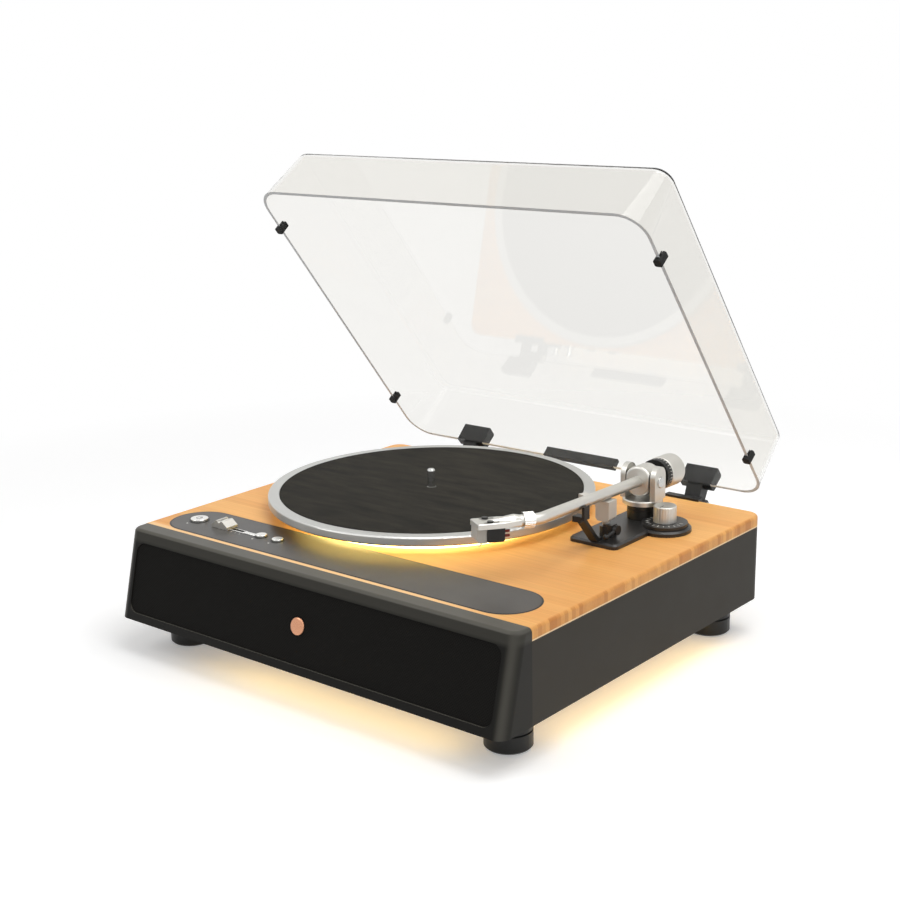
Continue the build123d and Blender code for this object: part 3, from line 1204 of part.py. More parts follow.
def power_jack():
    """Low-voltage power jack with its centre pin."""
    body = jack(AUX_NOSE_R, JACK_PROUD, POWER_BORE_R, AUX_DEPTH - JACK_PROUD)
    pin = post(0, 0, 2 * JACK_PROUD - AUX_DEPTH, 0, POWER_PIN_R)
    return on_back(body + pin, jack_places()[3])


def amplifier_board():
    """Main board on standoffs, with capacitors and a finned heat sink."""
    x0, y0 = INNER_X - BOARD_TO_WALL - BOARD_SIZE_X, PLATTER_Y - BOARD_SIZE_Y / 2
    x1, y1, low = x0 + BOARD_SIZE_X, y0 + BOARD_SIZE_Y, FLOOR_Z + STANDOFF_HEIGHT
    top = low + BOARD_THICKNESS
    board = slab(x0, x1, y0, y1, low, top)
    for x in (x0 + 2 * STANDOFF_R, x1 - 2 * STANDOFF_R):
        for y in (y0 + 2 * STANDOFF_R, y1 - 2 * STANDOFF_R):
            board += post(x, y, FLOOR_Z, low, STANDOFF_R)
    for k in range(3):
        x = x0 + (k + 1) * 3 * CAPACITOR_R
        board += post(x, y0 + 2 * CAPACITOR_R, top, top + CAPACITOR_HEIGHT, CAPACITOR_R)
    pitch = BOARD_SIZE_X / 2 / SINK_FINS
    board += slab(x0 + pitch, x0 + SINK_FINS * pitch, y1 - 4 * pitch, y1 - pitch, top, top + pitch / 2)
    for k in range(SINK_FINS):
        x = x0 + (k + 0.5) * pitch + pitch / 2
        board += slab(x, x + pitch / 4, y1 - 4 * pitch, y1 - pitch, top, top + SINK_HEIGHT)
    return board


NODES = [
    cabinet_shell, bottom_panel, top_plate, feet, foot_pads, foot_screws, glow_bars,
    front_bezel, grille_cloth, grille_frame, speaker_baffle, speaker_baskets, speaker_magnets, speaker_cones,
    control_strip, power_button, source_button, light_button, volume_slider, control_board,
    platter, slip_mat, sub_platter, spindle_shaft, bearing_housing, bearing_bush, thrust_ball,
    drive_belt, motor_pulley, drive_motor, light_ring,
    arm_base, arm_pillar, gimbal_yoke, pivot_screws, arm_drum, arm_tube, headshell, locking_collar,
    cartridge, stylus_holder, weight_stub, weight_bush, counterweight, force_dial, anti_skate_knob,
    lift_platform, cue_lever, arm_rest,
    dust_cover, lid_bumpers, rear_bar, hinge_brackets, hinge_pins, hinge_leaves,
    connector_plate, phono_jacks, aux_jack, power_jack, amplifier_board,
]


def main():
    """Build every piece and write it out."""
    os.makedirs("parts", exist_ok=True)
    for node in NODES:
        export_step(node(), f"parts/{node.__name__}.step")


main()
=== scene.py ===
"""Looks of a record player with front speakers, a lit platter and a clear fold-up dust cover.

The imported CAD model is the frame. Each sub-assembly below dresses its own CAD nodes with a finish
and adds the small pieces that the solids leave out. Metres, +X right, +Y back, +Z up.
"""

import json
import logging
from dataclasses import dataclass, field
from enum import Enum
from typing import Any, Optional, Sequence

import bmesh
import bpy
import numpy as np
from mathutils import Matrix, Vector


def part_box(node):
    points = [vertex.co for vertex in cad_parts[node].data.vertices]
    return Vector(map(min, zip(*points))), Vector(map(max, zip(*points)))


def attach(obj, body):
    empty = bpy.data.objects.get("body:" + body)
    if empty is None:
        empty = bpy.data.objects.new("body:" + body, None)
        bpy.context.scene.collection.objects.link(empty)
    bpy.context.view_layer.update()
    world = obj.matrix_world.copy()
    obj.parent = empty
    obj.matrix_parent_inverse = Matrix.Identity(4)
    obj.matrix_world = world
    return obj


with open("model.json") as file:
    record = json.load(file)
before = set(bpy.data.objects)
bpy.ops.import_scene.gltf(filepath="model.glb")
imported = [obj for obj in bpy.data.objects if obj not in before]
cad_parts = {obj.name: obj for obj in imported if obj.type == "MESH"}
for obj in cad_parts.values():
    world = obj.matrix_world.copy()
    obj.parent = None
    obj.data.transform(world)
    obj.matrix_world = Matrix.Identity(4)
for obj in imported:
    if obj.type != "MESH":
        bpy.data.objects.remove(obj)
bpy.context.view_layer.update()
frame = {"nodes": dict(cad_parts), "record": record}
LOG = logging.getLogger("record_player")
MM = 0.001
WHITE = (1.0, 1.0, 1.0, 1.0)
UNLIT = (0.0, 0.0, 0.0, 1.0)

Tint = tuple[int, int, int]
Pair = tuple[float, float]
Triple = tuple[float, float, float]
Socket = bpy.types.NodeSocket
Node = bpy.types.Node


class Body(str, Enum):
    """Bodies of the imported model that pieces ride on."""

    CABINET = "cabinet"
    COVER = "cover"
    TONEARM = "tonearm"
    DIAL = "dial"
    KNOB = "anti_skate"
    POWER = "power_key"
    SLIDER = "slider"


class Slot(str, Enum):
    """Material slots of the record; the terminal sleeves list one for each pair, which nothing reads."""

    STEEL = "steel"
    BLACK = "black"
    GREY = "grey"
    BRONZE = "bronze"
    CLEAR = "clear"


def linear(red: int, green: int, blue: int) -> tuple[float, float, float, float]:
    """Turn an sRGB colour of 0 to 255 into the linear colour that shaders take, by the standard curve.

    Args:
        red: Red, 0 to 255.
        green: Green, 0 to 255.
        blue: Blue, 0 to 255.

    Returns:
        Linear red, green, blue and an alpha of 1.
    """
    c = np.array([red, green, blue]) / 255.0
    c = np.where(c <= 0.04045, c / 12.92, ((c + 0.055) / 1.055) ** 2.4)
    return float(c[0]), float(c[1]), float(c[2]), 1.0


class Graph:
    """Short way to make and join the nodes of a shader tree."""

    def __init__(self, tree: bpy.types.NodeTree) -> None:
        """Keep the tree that nodes are added to."""
        self.tree = tree

    def add(self, kind: str, inputs: Optional[dict[Any, Any]] = None, **settings: Any) -> Node:
        """Add a node.

        Args:
            kind: Node type without its ShaderNode prefix, or a full type name.
            inputs: Input name or number to a constant, or to a socket that feeds it.
            settings: Properties set on the node first.

        Returns:
            The new node.
        """
        name = kind if kind.startswith("NodeGroup") else "ShaderNode" + kind
        node = self.tree.nodes.new(name)
        for key, value in settings.items():
            setattr(node, key, value)
        for key, value in (inputs or {}).items():
            self.feed(node.inputs[key], value)
        return node

    def feed(self, socket: Socket, value: Any) -> None:
        """Link a socket into an input, or set the input's constant."""
        if isinstance(value, bpy.types.NodeSocket):
            self.tree.links.new(value, socket)
        else:
            socket.default_value = value

    def math(self, operation: str, a: Any, b: Any = 0.0) -> Socket:
        """Join two values by a math operation and give its output."""
        return self.add("Math", {0: a, 1: b}, operation=operation).outputs[0]

    def times(self, a: Any, b: Any) -> Socket:
        """Multiply two values."""
        return self.math("MULTIPLY", a, b)

    def mix(self, share: Any, a: Any, b: Any) -> Socket:
        """Mix two colours by a share of 0 to 1 and give the mixed colour."""
        node = self.add("Mix", data_type="RGBA")
        self.feed(node.inputs[0], share)
        self.feed(node.inputs[6], a)
        self.feed(node.inputs[7], b)
        return node.outputs[2]

    def ramp(self, value: Any, stretch: Pair, low: float = 0.0, high: float = 1.0) -> Socket:
        """Carry a value's stretch onto one from low to high, and hold it past the ends.

        Args:
            value: Value to carry.
            stretch: Values that give low and high.
            low: Result at the stretch's start.
            high: Result at its end.

        Returns:
            The result.
        """
        return self.add("MapRange", {0: value, 1: stretch[0], 2: stretch[1], 3: low, 4: high}).outputs[0]

    def span(self, value: Any, low: float, high: float) -> Socket:
        """Carry a value of 0 to 1 onto a span from low to high."""
        return self.ramp(value, (0.0, 1.0), low, high)

    def axes(self, vector: Any) -> Sequence[Socket]:
        """Split a vector into its X, Y and Z."""
        return self.add("SeparateXYZ", {0: vector}).outputs

    def stretched(self, place: Any, scale: Triple) -> Socket:
        """Scale coordinates differently along each axis."""
        return self.add("Mapping", {"Vector": place, "Scale": scale}).outputs[0]

    def shuffled(self, place: Any, scale: Triple) -> Socket:
        """Cut space into cells and give each a chance value of 0 to 1.

        Args:
            place: Coordinates.
            scale: Cells per metre along each axis, 0 where a cell has no end.

        Returns:
            The value of the cell.
        """
        cells = self.add("VectorMath", {0: self.stretched(place, scale)}, operation="FLOOR").outputs[0]
        return self.add("TexWhiteNoise", {"Vector": cells}, noise_dimensions="3D").outputs[0]


@dataclass
class EffectLibrary:
    """Shader node groups that several finishes share, each made once.

    Attributes:
        groups: Groups made so far, by name.
        broad_share: Scale of the broad grain as a share of the fine one's.
    """

    groups: dict[str, bpy.types.NodeTree] = field(default_factory=dict)
    broad_share: float = 0.03

    def open_group(self, name: str) -> tuple[Graph, Any, Any]:
        """Start a group with a Vector and a Scale input, and with Tone and Height as outputs.

        Args:
            name: Name of the group.

        Returns:
            The group's graph, its input node and its output node.
        """
        tree = bpy.data.node_groups.new(name, "ShaderNodeTree")
        tree.interface.new_socket(name="Vector", in_out="INPUT", socket_type="NodeSocketVector")
        tree.interface.new_socket(name="Scale", in_out="INPUT", socket_type="NodeSocketFloat")
        for key in ("Tone", "Height"):
            tree.interface.new_socket(name=key, in_out="OUTPUT", socket_type="NodeSocketFloat")
        graph = Graph(tree)
        self.groups[name] = tree
        return graph, graph.add("NodeGroupInput"), graph.add("NodeGroupOutput")

    def speckle(self) -> bpy.types.NodeTree:
        """Fine moulded grain: a small noise over a broad one.

        Returns:
            Group with outputs Tone, a broad patchiness, and Height, the fine grain.
        """
        if "speckle" not in self.groups:
            graph, start, end = self.open_group("speckle")
            place, scale = start.outputs["Vector"], start.outputs["Scale"]
            fine = graph.add("TexNoise", {"Vector": place, "Scale": scale, "Detail": 3.0, "Roughness": 0.6})
            broad_scale = graph.times(scale, self.broad_share)
            broad = graph.add("TexNoise", {"Vector": place, "Scale": broad_scale, "Detail": 4.0})
            graph.feed(end.inputs["Tone"], broad.outputs[0])
            graph.feed(end.inputs["Height"], fine.outputs[0])
        return self.groups["speckle"]

    def streaks(self) -> bpy.types.NodeTree:
        """Fine lines along one axis: noise on a stretched vector.

        Returns:
            Group with outputs Tone and Height, both the streak's strength.
        """
        if "streaks" not in self.groups:
            graph, start, end = self.open_group("streaks")
            noise = graph.add("TexNoise", {"Vector": start.outputs["Vector"], "Scale": start.outputs["Scale"],
                                           "Detail": 5.0, "Roughness": 0.65})
            graph.feed(end.inputs["Tone"], noise.outputs[0])
            graph.feed(end.inputs["Height"], noise.outputs[0])
        return self.groups["streaks"]

    def weave(self) -> bpy.types.NodeTree:
        """Plain weave: two crossed sines, their product the thread on top and their mean size its swell.

        Returns:
            Group with outputs Tone, where a thread lies on top, and Height, the thread's swell.
        """
        if "weave" not in self.groups:
            graph, start, end = self.open_group("weave")
            axes, scale = graph.axes(start.outputs["Vector"]), start.outputs["Scale"]
            across = graph.math("SINE", graph.times(axes[0], scale))
            along = graph.math("SINE", graph.times(axes[1], scale))
            swell = graph.math("ADD", graph.math("ABSOLUTE", across), graph.math("ABSOLUTE", along))
            graph.feed(end.inputs["Tone"], graph.ramp(graph.times(across, along), (-1.0, 1.0)))
            graph.feed(end.inputs["Height"], graph.times(swell, 0.5))
        return self.groups["weave"]


EFFECTS = EffectLibrary()


def effect(graph: Graph, tree: bpy.types.NodeTree, place: Any, scale: float) -> Node:
    """Put a shared effect into a material.

    Args:
        graph: Graph of the material.
        tree: Node group of the effect.
        place: Coordinates that it reads.
        scale: Its scale.

    Returns:
        The group node, with its outputs.
    """
    node = graph.add("Group", node_tree=tree)
    graph.feed(node.inputs["Vector"], place)
    node.inputs["Scale"].default_value = scale
    return node


@dataclass(frozen=True)
class Finish:
    """Base of every finish: a name and the colour it settles around.

    Attributes:
        name: Name of the material.
        tint: sRGB colour, 0 to 255.
    """

    name: str
    tint: Tint

    def start(self) -> tuple[bpy.types.Material, Graph, Node, Socket]:
        """Open a material with a Principled shader.

        Returns:
            The material, its graph, its shader and the Object coordinates.
        """
        material = bpy.data.materials.new(self.name)
        material.use_nodes = True
        graph = Graph(material.node_tree)
        shader = material.node_tree.nodes["Principled BSDF"]
        place = graph.add("TexCoord").outputs["Object"]
        shader.inputs["Base Color"].default_value = linear(*self.tint)
        return material, graph, shader, place

    def shade(self, share: float) -> tuple[float, float, float, float]:
        """Darken or lighten the tint in linear light by a share."""
        red, green, blue, _ = linear(*self.tint)
        return red * share, green * share, blue * share, 1.0

    def facing(self, graph: Graph) -> Sequence[Socket]:
        """Give the X, Y and Z of the way that a face looks."""
        return graph.axes(graph.add("TexCoord").outputs["Normal"])

    def streaks(self, graph: Graph, place: Any, scale: Triple) -> Node:
        """Lay fine lines, stretched differently along each axis."""
        return effect(graph, EFFECTS.streaks(), graph.stretched(place, scale), 1.0)

    def vary(self, graph: Graph, shader: Node, tone: Socket, spread: float, rough: Pair) -> None:
        """Let colour and roughness follow a pattern.

        Args:
            graph: Graph of the material.
            shader: Principled shader.
            tone: Pattern of 0 to 1.
            spread: Share by which the tint darkens and lightens.
            rough: Roughness and how far it strays.
        """
        low, high = self.shade(1.0 - spread), self.shade(1.0 + spread)
        graph.feed(shader.inputs["Base Color"], graph.mix(tone, low, high))
        graph.feed(shader.inputs["Roughness"], graph.span(tone, rough[0] - rough[1], rough[0] + rough[1]))

    def bump(self, graph: Graph, shader: Node, height: Any, strength: float, depth: float) -> None:
        """Feed a height into the shader's normal.

        Args:
            graph: Graph of the material.
            shader: Principled shader.
            height: Height socket.
            strength: Share of the effect.
            depth: Depth of the relief in metres.
        """
        node = graph.add("Bump", {"Strength": strength, "Distance": depth, "Height": height})
        graph.feed(shader.inputs["Normal"], node.outputs[0])

    def material(self) -> bpy.types.Material:
        """Make the material; each finish has its own."""
        raise NotImplementedError


@dataclass(frozen=True)
class MouldedPlastic(Finish):
    """Plastic or paint with a fine grain and slightly patchy gloss.

    Attributes:
        gloss: Roughness.
        patch: How far the roughness strays.
        grain: Scale of the fine grain.
        press: Strength of the grain's relief.
        relief: Depth of the grain's relief.
        spread: Share by which the tone strays.
        shine: Level of the mirror reflection.
    """

    gloss: float = 0.5
    patch: float = 0.06
    grain: float = 900.0
    press: float = 0.6
    relief: float = 0.00003
    spread: float = 0.12
    shine: float = 0.35

    def material(self) -> bpy.types.Material:
        """Make the material: tone and roughness vary with the broad grain, and the fine one gives relief."""
        material, graph, shader, place = self.start()
        grain = effect(graph, EFFECTS.speckle(), place, self.grain)
        self.vary(graph, shader, grain.outputs["Tone"], self.spread, (self.gloss, self.patch))
        shader.inputs["Specular IOR Level"].default_value = self.shine
        self.bump(graph, shader, grain.outputs["Height"], self.press, self.relief)
        return material


@dataclass(frozen=True)
class PaintedSheenMoulding(Finish):
    """Dark moulding with painted light on its upper slope and lip, and a painted sheen on its rounded upright
    edges.

    Attributes:
        upper: Painted light tone of the faces that look up and of the lip.
        edge: Painted sheen tone of the rounded upright edges.
        gloss: Roughness.
        patch: How far the roughness strays.
        grain: Scale of the fine grain.
        slope: Upward looks between which the painted light tone comes in.
        lip: Heights over the grille between which the painted light's share on the lip comes in.
        lip_light_share: That share.
        turn_off: Sideways look at which the painted sheen would end.
        sheen: Strength of the painted sheen.
        shine: Level of the mirror reflection.
        press: Strength of the grain's relief.
        relief: Depth of the grain's relief.
    """

    upper: Tint = (88, 86, 79)
    edge: Tint = (78, 76, 70)
    gloss: float = 0.34
    patch: float = 0.05
    grain: float = 1600.0
    slope: Pair = (0.28, 0.65)
    lip: Pair = (-0.001, 0.003)
    lip_light_share: float = 0.38
    turn_off: float = 1.12
    sheen: float = 3.1
    shine: float = 0.12
    press: float = 0.5
    relief: float = 0.00002

    def material(self) -> bpy.types.Material:
        """Make the material: the way a face looks sets its painted light and painted sheen, over a fine
        grain.

        The painted sheen is the square of side x (turn_off - side) x strength, where side is the sideways
        look.

        Returns:
            The material.
        """
        material, graph, shader, place = self.start()
        grain = effect(graph, EFFECTS.speckle(), place, self.grain)
        facing = self.facing(graph)
        grille = corners("grille_cloth")[1][2]
        lip = (grille + self.lip[0], grille + self.lip[1])
        # painted light from above: upward faces and the lip over the grille take the paler tone
        above = graph.ramp(graph.axes(place)[2], lip, 0.0, self.lip_light_share)
        rise = graph.math("MAXIMUM", graph.ramp(facing[2], self.slope), above)
        colour = graph.mix(rise, linear(*self.tint), linear(*self.upper))
        # painted sheen on the rounded upright edges
        side = graph.math("ABSOLUTE", facing[0])
        sheen = graph.times(graph.times(side, graph.math("SUBTRACT", self.turn_off, side)), self.sheen)
        colour = graph.mix(graph.math("POWER", sheen, 2.0), colour, linear(*self.edge))
        rough = graph.span(grain.outputs["Tone"], self.gloss - self.patch, self.gloss + self.patch)
        graph.feed(shader.inputs["Base Color"], colour)
        graph.feed(shader.inputs["Roughness"], rough)
        shader.inputs["Specular IOR Level"].default_value = self.shine
        self.bump(graph, shader, grain.outputs["Height"], self.press, self.relief)
        return material


@dataclass(frozen=True)
class TurnedMetal(Finish):
    """Metal with fine tool lines along one axis.

    Attributes:
        gloss: Roughness.
        patch: How far the roughness strays.
        lines: Scale of the lines along each axis.
        spread: Share by which the tone strays.
        press: Strength of the lines' relief.
        relief: Depth of the lines' relief.
    """

    gloss: float = 0.3
    patch: float = 0.08
    lines: Triple = (300.0, 300.0, 6000.0)
    spread: float = 0.06
    press: float = 0.4
    relief: float = 0.000008

    def material(self) -> bpy.types.Material:
        """Make the material: the lines vary tone, roughness and relief."""
        material, graph, shader, place = self.start()
        lines = self.streaks(graph, place, self.lines)
        self.vary(graph, shader, lines.outputs["Tone"], self.spread, (self.gloss, self.patch))
        shader.inputs["Metallic"].default_value = 1.0
        self.bump(graph, shader, lines.outputs["Height"], self.press, self.relief)
        return material


@dataclass(frozen=True)
class BambooBoard(Finish):
    """Laminated bamboo: strips along X, each with its own tone, fine fibres, rare nodes and end grain, and
    painted light on the band before the control strip.

    Attributes:
        strip: Width of a strip.
        joints: Lengths of strip per metre.
        end_strip: Width of a strip where its end grain shows.
        dark: Darkest tone of a strip.
        pale: Palest tone of a strip.
        end: Tone of the end grain.
        glue: Tone of the glue line under the edge.
        lit: Painted light tone of the band before the control strip.
        drift: Scale of the slow change along a strip.
        drift_share: Its share in the tone.
        fibre: Scale of the fibres.
        fibre_stretch: Strengths between which a fibre comes in.
        fibre_share: Its share in the tone.
        fibre_shade: Its share of the tint.
        node: Scale of the nodes.
        node_stretch: Strengths between which a node comes in.
        node_share: Its share in the tone.
        node_shade: Its share of the tint.
        sideways: Sideways looks between which the end grain comes in.
        end_share: Most share of the end grain.
        line: Height of the glue line over the board's underside.
        glue_share: Share of the glue line.
        band: Depth over which the band fades to the back.
        band_tail: Length over which it fades to the right.
        band_share: Its share in the tone.
        rough: Roughness of the palest and the darkest fibre.
        shine: Level of the mirror reflection.
        press: Strength of the fibres' relief.
        relief: Depth of the fibres' relief.
    """

    strip: float = 0.0135
    joints: float = 2.2
    end_strip: float = 0.0048
    dark: Tint = (226, 151, 76)
    pale: Tint = (252, 198, 120)
    end: Tint = (186, 112, 50)
    glue: Tint = (250, 226, 186)
    lit: Tint = (255, 222, 172)
    drift: Triple = (3.0, 55.0, 55.0)
    drift_share: float = 0.58
    fibre: Triple = (9.0, 1100.0, 500.0)
    fibre_stretch: Pair = (0.36, 0.66)
    fibre_share: float = 0.34
    fibre_shade: float = 0.66
    node: Triple = (70.0, 260.0, 90.0)
    node_stretch: Pair = (0.67, 0.74)
    node_share: float = 0.40
    node_shade: float = 0.42
    sideways: Pair = (0.2, 0.7)
    end_share: float = 0.75
    line: float = 0.0012
    glue_share: float = 0.75
    band: float = 0.002
    band_tail: float = 0.08
    band_share: float = 0.5
    rough: Pair = (0.38, 0.54)
    shine: float = 0.30
    press: float = 0.25
    relief: float = 0.00003

    def strips(self, graph: Graph, place: Socket) -> Socket:
        """Colour the strips: a chance tone for each, with a slow change along it."""
        tone = graph.shuffled(place, (self.joints, 1.0 / self.strip, 0.0))
        drift = self.streaks(graph, place, self.drift).outputs["Tone"]
        chance, slow = graph.times(tone, 1.0 - self.drift_share), graph.times(drift, self.drift_share)
        share = graph.math("ADD", chance, slow)
        return graph.mix(share, linear(*self.dark), linear(*self.pale))

    def grain(self, graph: Graph, place: Socket, fibre: Socket, colour: Socket) -> Socket:
        """Darken a colour along the fibres and at the nodes.

        Args:
            graph: Graph of the material.
            place: Object coordinates.
            fibre: Strength of the fibres.
            colour: Colour of the strips.

        Returns:
            The darkened colour.
        """
        share = graph.ramp(fibre, self.fibre_stretch, 0.0, self.fibre_share)
        colour = graph.mix(share, colour, self.shade(self.fibre_shade))
        node = self.streaks(graph, place, self.node).outputs["Tone"]
        share = graph.ramp(node, self.node_stretch, 0.0, self.node_share)
        return graph.mix(share, colour, self.shade(self.node_shade))

    def edges(self, graph: Graph, place: Socket, colour: Socket) -> Socket:
        """Show end grain on the board's ends, and the glue line under its edge."""
        ends = graph.ramp(graph.math("ABSOLUTE", self.facing(graph)[0]), self.sideways)
        short = graph.times(graph.shuffled(place, (0.0, 1.0 / self.end_strip, 0.0)), self.end_share)
        colour = graph.mix(graph.times(ends, short), colour, linear(*self.end))
        top = corners("top_plate")[0][2] + self.line
        glue = graph.times(graph.math("LESS_THAN", graph.axes(place)[2], top), self.glue_share)
        return graph.mix(glue, colour, linear(*self.glue))

    def front(self, graph: Graph, place: Socket, colour: Socket) -> Socket:
        """Paint light on the band before the control strip, fading to the back and to the right."""
        low, high = corners("control_strip")
        x, y, _ = graph.axes(place)
        # painted light: the band before the control strip turns paler
        front = graph.ramp(y, (low[1], low[1] + self.band), self.band_share, 0.0)
        along = graph.ramp(x, (high[0] - self.band_tail, high[0]), 1.0, 0.0)
        return graph.mix(graph.times(front, along), colour, linear(*self.lit))

    def material(self) -> bpy.types.Material:
        """Make the material: strips, then fibres and nodes, then edges, then the band of painted light."""
        material, graph, shader, place = self.start()
        fibres = self.streaks(graph, place, self.fibre)
        colour = self.grain(graph, place, fibres.outputs["Tone"], self.strips(graph, place))
        colour = self.front(graph, place, self.edges(graph, place, colour))
        graph.feed(shader.inputs["Base Color"], colour)
        graph.feed(shader.inputs["Roughness"], graph.span(fibres.outputs["Tone"], *self.rough))
        shader.inputs["Specular IOR Level"].default_value = self.shine
        self.bump(graph, shader, fibres.outputs["Height"], self.press, self.relief)
        return material


@dataclass(frozen=True)
class WovenCloth(Finish):
    """Stretched grille cloth with a plain weave.

    Attributes:
        thread: Radians of the weave per metre.
        shades: Shares of the tint under and on top.
        rough: Roughness under and on top.
        shine: Level of the mirror reflection.
        press: Strength of the weave's relief.
        relief: Depth of the weave's relief.
    """

    thread: float = 2600.0
    shades: Pair = (0.5, 1.5)
    rough: Pair = (0.92, 0.78)
    shine: float = 0.12
    press: float = 0.8
    relief: float = 0.0003

    def material(self) -> bpy.types.Material:
        """Make the material: the weave lies in the plane of X and the slope's Z."""
        material, graph, shader, place = self.start()
        swapped = graph.add("Mapping", {"Vector": place, "Rotation": (np.pi / 2, 0.0, 0.0)}).outputs[0]
        weave = effect(graph, EFFECTS.weave(), swapped, self.thread)
        low, high = (self.shade(share) for share in self.shades)
        graph.feed(shader.inputs["Base Color"], graph.mix(weave.outputs["Tone"], low, high))
        graph.feed(shader.inputs["Roughness"], graph.span(weave.outputs["Tone"], *self.rough))
        shader.inputs["Specular IOR Level"].default_value = self.shine
        self.bump(graph, shader, weave.outputs["Height"], self.press, self.relief)
        return material


@dataclass(frozen=True)
class FeltMat(Finish):
    """Dark pressed mat with long soft blotches.

    Attributes:
        blots: Scale of the blotches along each axis.
        stretch: Strengths between which a blotch comes in.
        shades: Shares of the tint outside and inside a blotch.
        fuzz: Scale of the fuzz.
        fuzz_share: Share of the fuzz in the tone.
        fuzz_shade: Its share of the tint.
        rough: Roughness outside and inside a blotch.
        shine: Level of the mirror reflection.
        press: Strength of the relief.
        relief: Depth of the relief.
    """

    blots: Triple = (20.0, 95.0, 40.0)
    stretch: Pair = (0.34, 0.68)
    shades: Pair = (0.45, 1.95)
    fuzz: float = 2200.0
    fuzz_share: float = 0.35
    fuzz_shade: float = 0.6
    rough: Pair = (0.82, 0.95)
    shine: float = 0.15
    press: float = 0.5
    relief: float = 0.0003

    def material(self) -> bpy.types.Material:
        """Make the material: stretched blotches over a fine fuzz."""
        material, graph, shader, place = self.start()
        blots = self.streaks(graph, place, self.blots)
        fuzz = effect(graph, EFFECTS.speckle(), place, self.fuzz).outputs["Height"]
        share = graph.ramp(blots.outputs["Tone"], self.stretch)
        low, high = (self.shade(part) for part in self.shades)
        colour = graph.mix(share, low, high)
        colour = graph.mix(graph.times(fuzz, self.fuzz_share), colour, self.shade(self.fuzz_shade))
        graph.feed(shader.inputs["Base Color"], colour)
        graph.feed(shader.inputs["Roughness"], graph.span(share, *self.rough))
        shader.inputs["Specular IOR Level"].default_value = self.shine
        self.bump(graph, shader, graph.math("ADD", fuzz, blots.outputs["Height"]), self.press, self.relief)
        return material


@dataclass(frozen=True)
class ClearAcrylic(Finish):
    """Clear cast plastic with a trace of grey and faint surface haze.

    Attributes:
        haze: Most roughness of the surface.
        grain: Scale of the haze.
        bend: Index of refraction.
        glint: Strength of the head-on reflection, as a share of a bare surface's.
    """

    haze: float = 0.015
    grain: float = 300.0
    bend: float = 1.45
    glint: float = 0.25

    def material(self) -> bpy.types.Material:
        """Make the material: a see-through shader whose roughness varies a little."""
        material, graph, shader, place = self.start()
        haze = effect(graph, EFFECTS.speckle(), place, self.grain)
        graph.feed(shader.inputs["Roughness"], graph.span(haze.outputs["Tone"], 0.0, self.haze))
        shader.inputs["Transmission Weight"].default_value = 1.0
        shader.inputs["IOR"].default_value = self.bend
        shader.inputs["Specular Tint"].default_value = (self.glint, self.glint, self.glint, 1.0)
        return material


@dataclass(frozen=True)
class LightGuide(Finish):
    """Frosted plastic lit from inside, unevenly: its glow changes with the distance from one spot.

    Attributes:
        power: Strength of the glow.
        node: CAD node in whose box the spot lies.
        share: Where the spot lies in that box, as shares of its sides.
        near: Distance up to which the glow has its inner share.
        far: Distance from which it has its outer share.
        inner: Share of the glow about the spot.
        outer: Share of the glow away from it.
        lamps: Scale of the small lamps.
        shades: Shares of the tint between the lamps and at them.
        rough: Roughness.
    """

    power: float = 8.0
    node: str = "light_ring"
    share: Triple = (0.0, 0.0, 0.0)
    near: float = 0.05
    far: float = 0.15
    inner: float = 1.0
    outer: float = 1.0
    lamps: float = 1500.0
    shades: Pair = (0.85, 1.1)
    rough: float = 0.6

    def material(self) -> bpy.types.Material:
        """Make the material: the glow dims a little between its small lamps."""
        material, graph, shader, place = self.start()
        lamps = effect(graph, EFFECTS.speckle(), place, self.lamps)
        low, high = (self.shade(part) for part in self.shades)
        glow = graph.mix(lamps.outputs["Tone"], low, high)
        first, last = corners(self.node)
        spot = first + np.array(self.share) * (last - first)
        away = graph.add("VectorMath", {0: place, 1: spot.tolist()}, operation="DISTANCE").outputs["Value"]
        lit = graph.ramp(away, (self.near, self.far), self.inner, self.outer)
        graph.feed(shader.inputs["Emission Color"], graph.mix(lit, UNLIT, glow))
        shader.inputs["Emission Strength"].default_value = self.power
        shader.inputs["Roughness"].default_value = self.rough
        return material


@dataclass
class Palette:
    """Finishes of the whole object, each made once.

    Attributes:
        made: Materials made so far, by the finish's name.
    """

    made: dict[str, bpy.types.Material] = field(default_factory=dict)

    def get(self, finish: Finish) -> bpy.types.Material:
        """Give a finish's material, made at its first use."""
        if finish.name not in self.made:
            self.made[finish.name] = finish.material()
        return self.made[finish.name]


PALETTE = Palette()

BAMBOO = BambooBoard("bamboo", (232, 168, 96))
CHARCOAL = MouldedPlastic("charcoal_paint", (46, 42, 35), gloss=0.58, grain=1300.0, spread=0.10, shine=0.25)
# dark bezel with painted light on top and a painted sheen on its upright edges
BEZEL = PaintedSheenMoulding("bezel_painted_light", (20, 19, 16))
CLOTH = WovenCloth("grille_cloth", (17, 16, 14))
STRIP = MouldedPlastic("control_strip", (52, 49, 45), gloss=0.34, grain=1500.0, spread=0.06, shine=0.5)
BLACK = MouldedPlastic("black_plastic", (23, 23, 22), gloss=0.40, grain=1200.0)
DARK = MouldedPlastic("dark_plastic", (34, 33, 32), gloss=0.34, grain=1200.0, shine=0.5)
RUBBER = MouldedPlastic("soft_rubber", (17, 17, 16), gloss=0.75, grain=700.0, relief=0.00006)
GREY = MouldedPlastic("light_grey_plastic", (196, 192, 184), gloss=0.40, grain=1400.0, spread=0.06)
BOARD = MouldedPlastic("fibreboard", (150, 124, 94), gloss=0.80, grain=500.0, relief=0.0001, spread=0.2)
CIRCUIT = MouldedPlastic("circuit_board", (24, 84, 48), gloss=0.35, grain=800.0, spread=0.25)
PAPER = MouldedPlastic("cone_paper", (30, 29, 28), gloss=0.85, grain=600.0, relief=0.0001, spread=0.2)
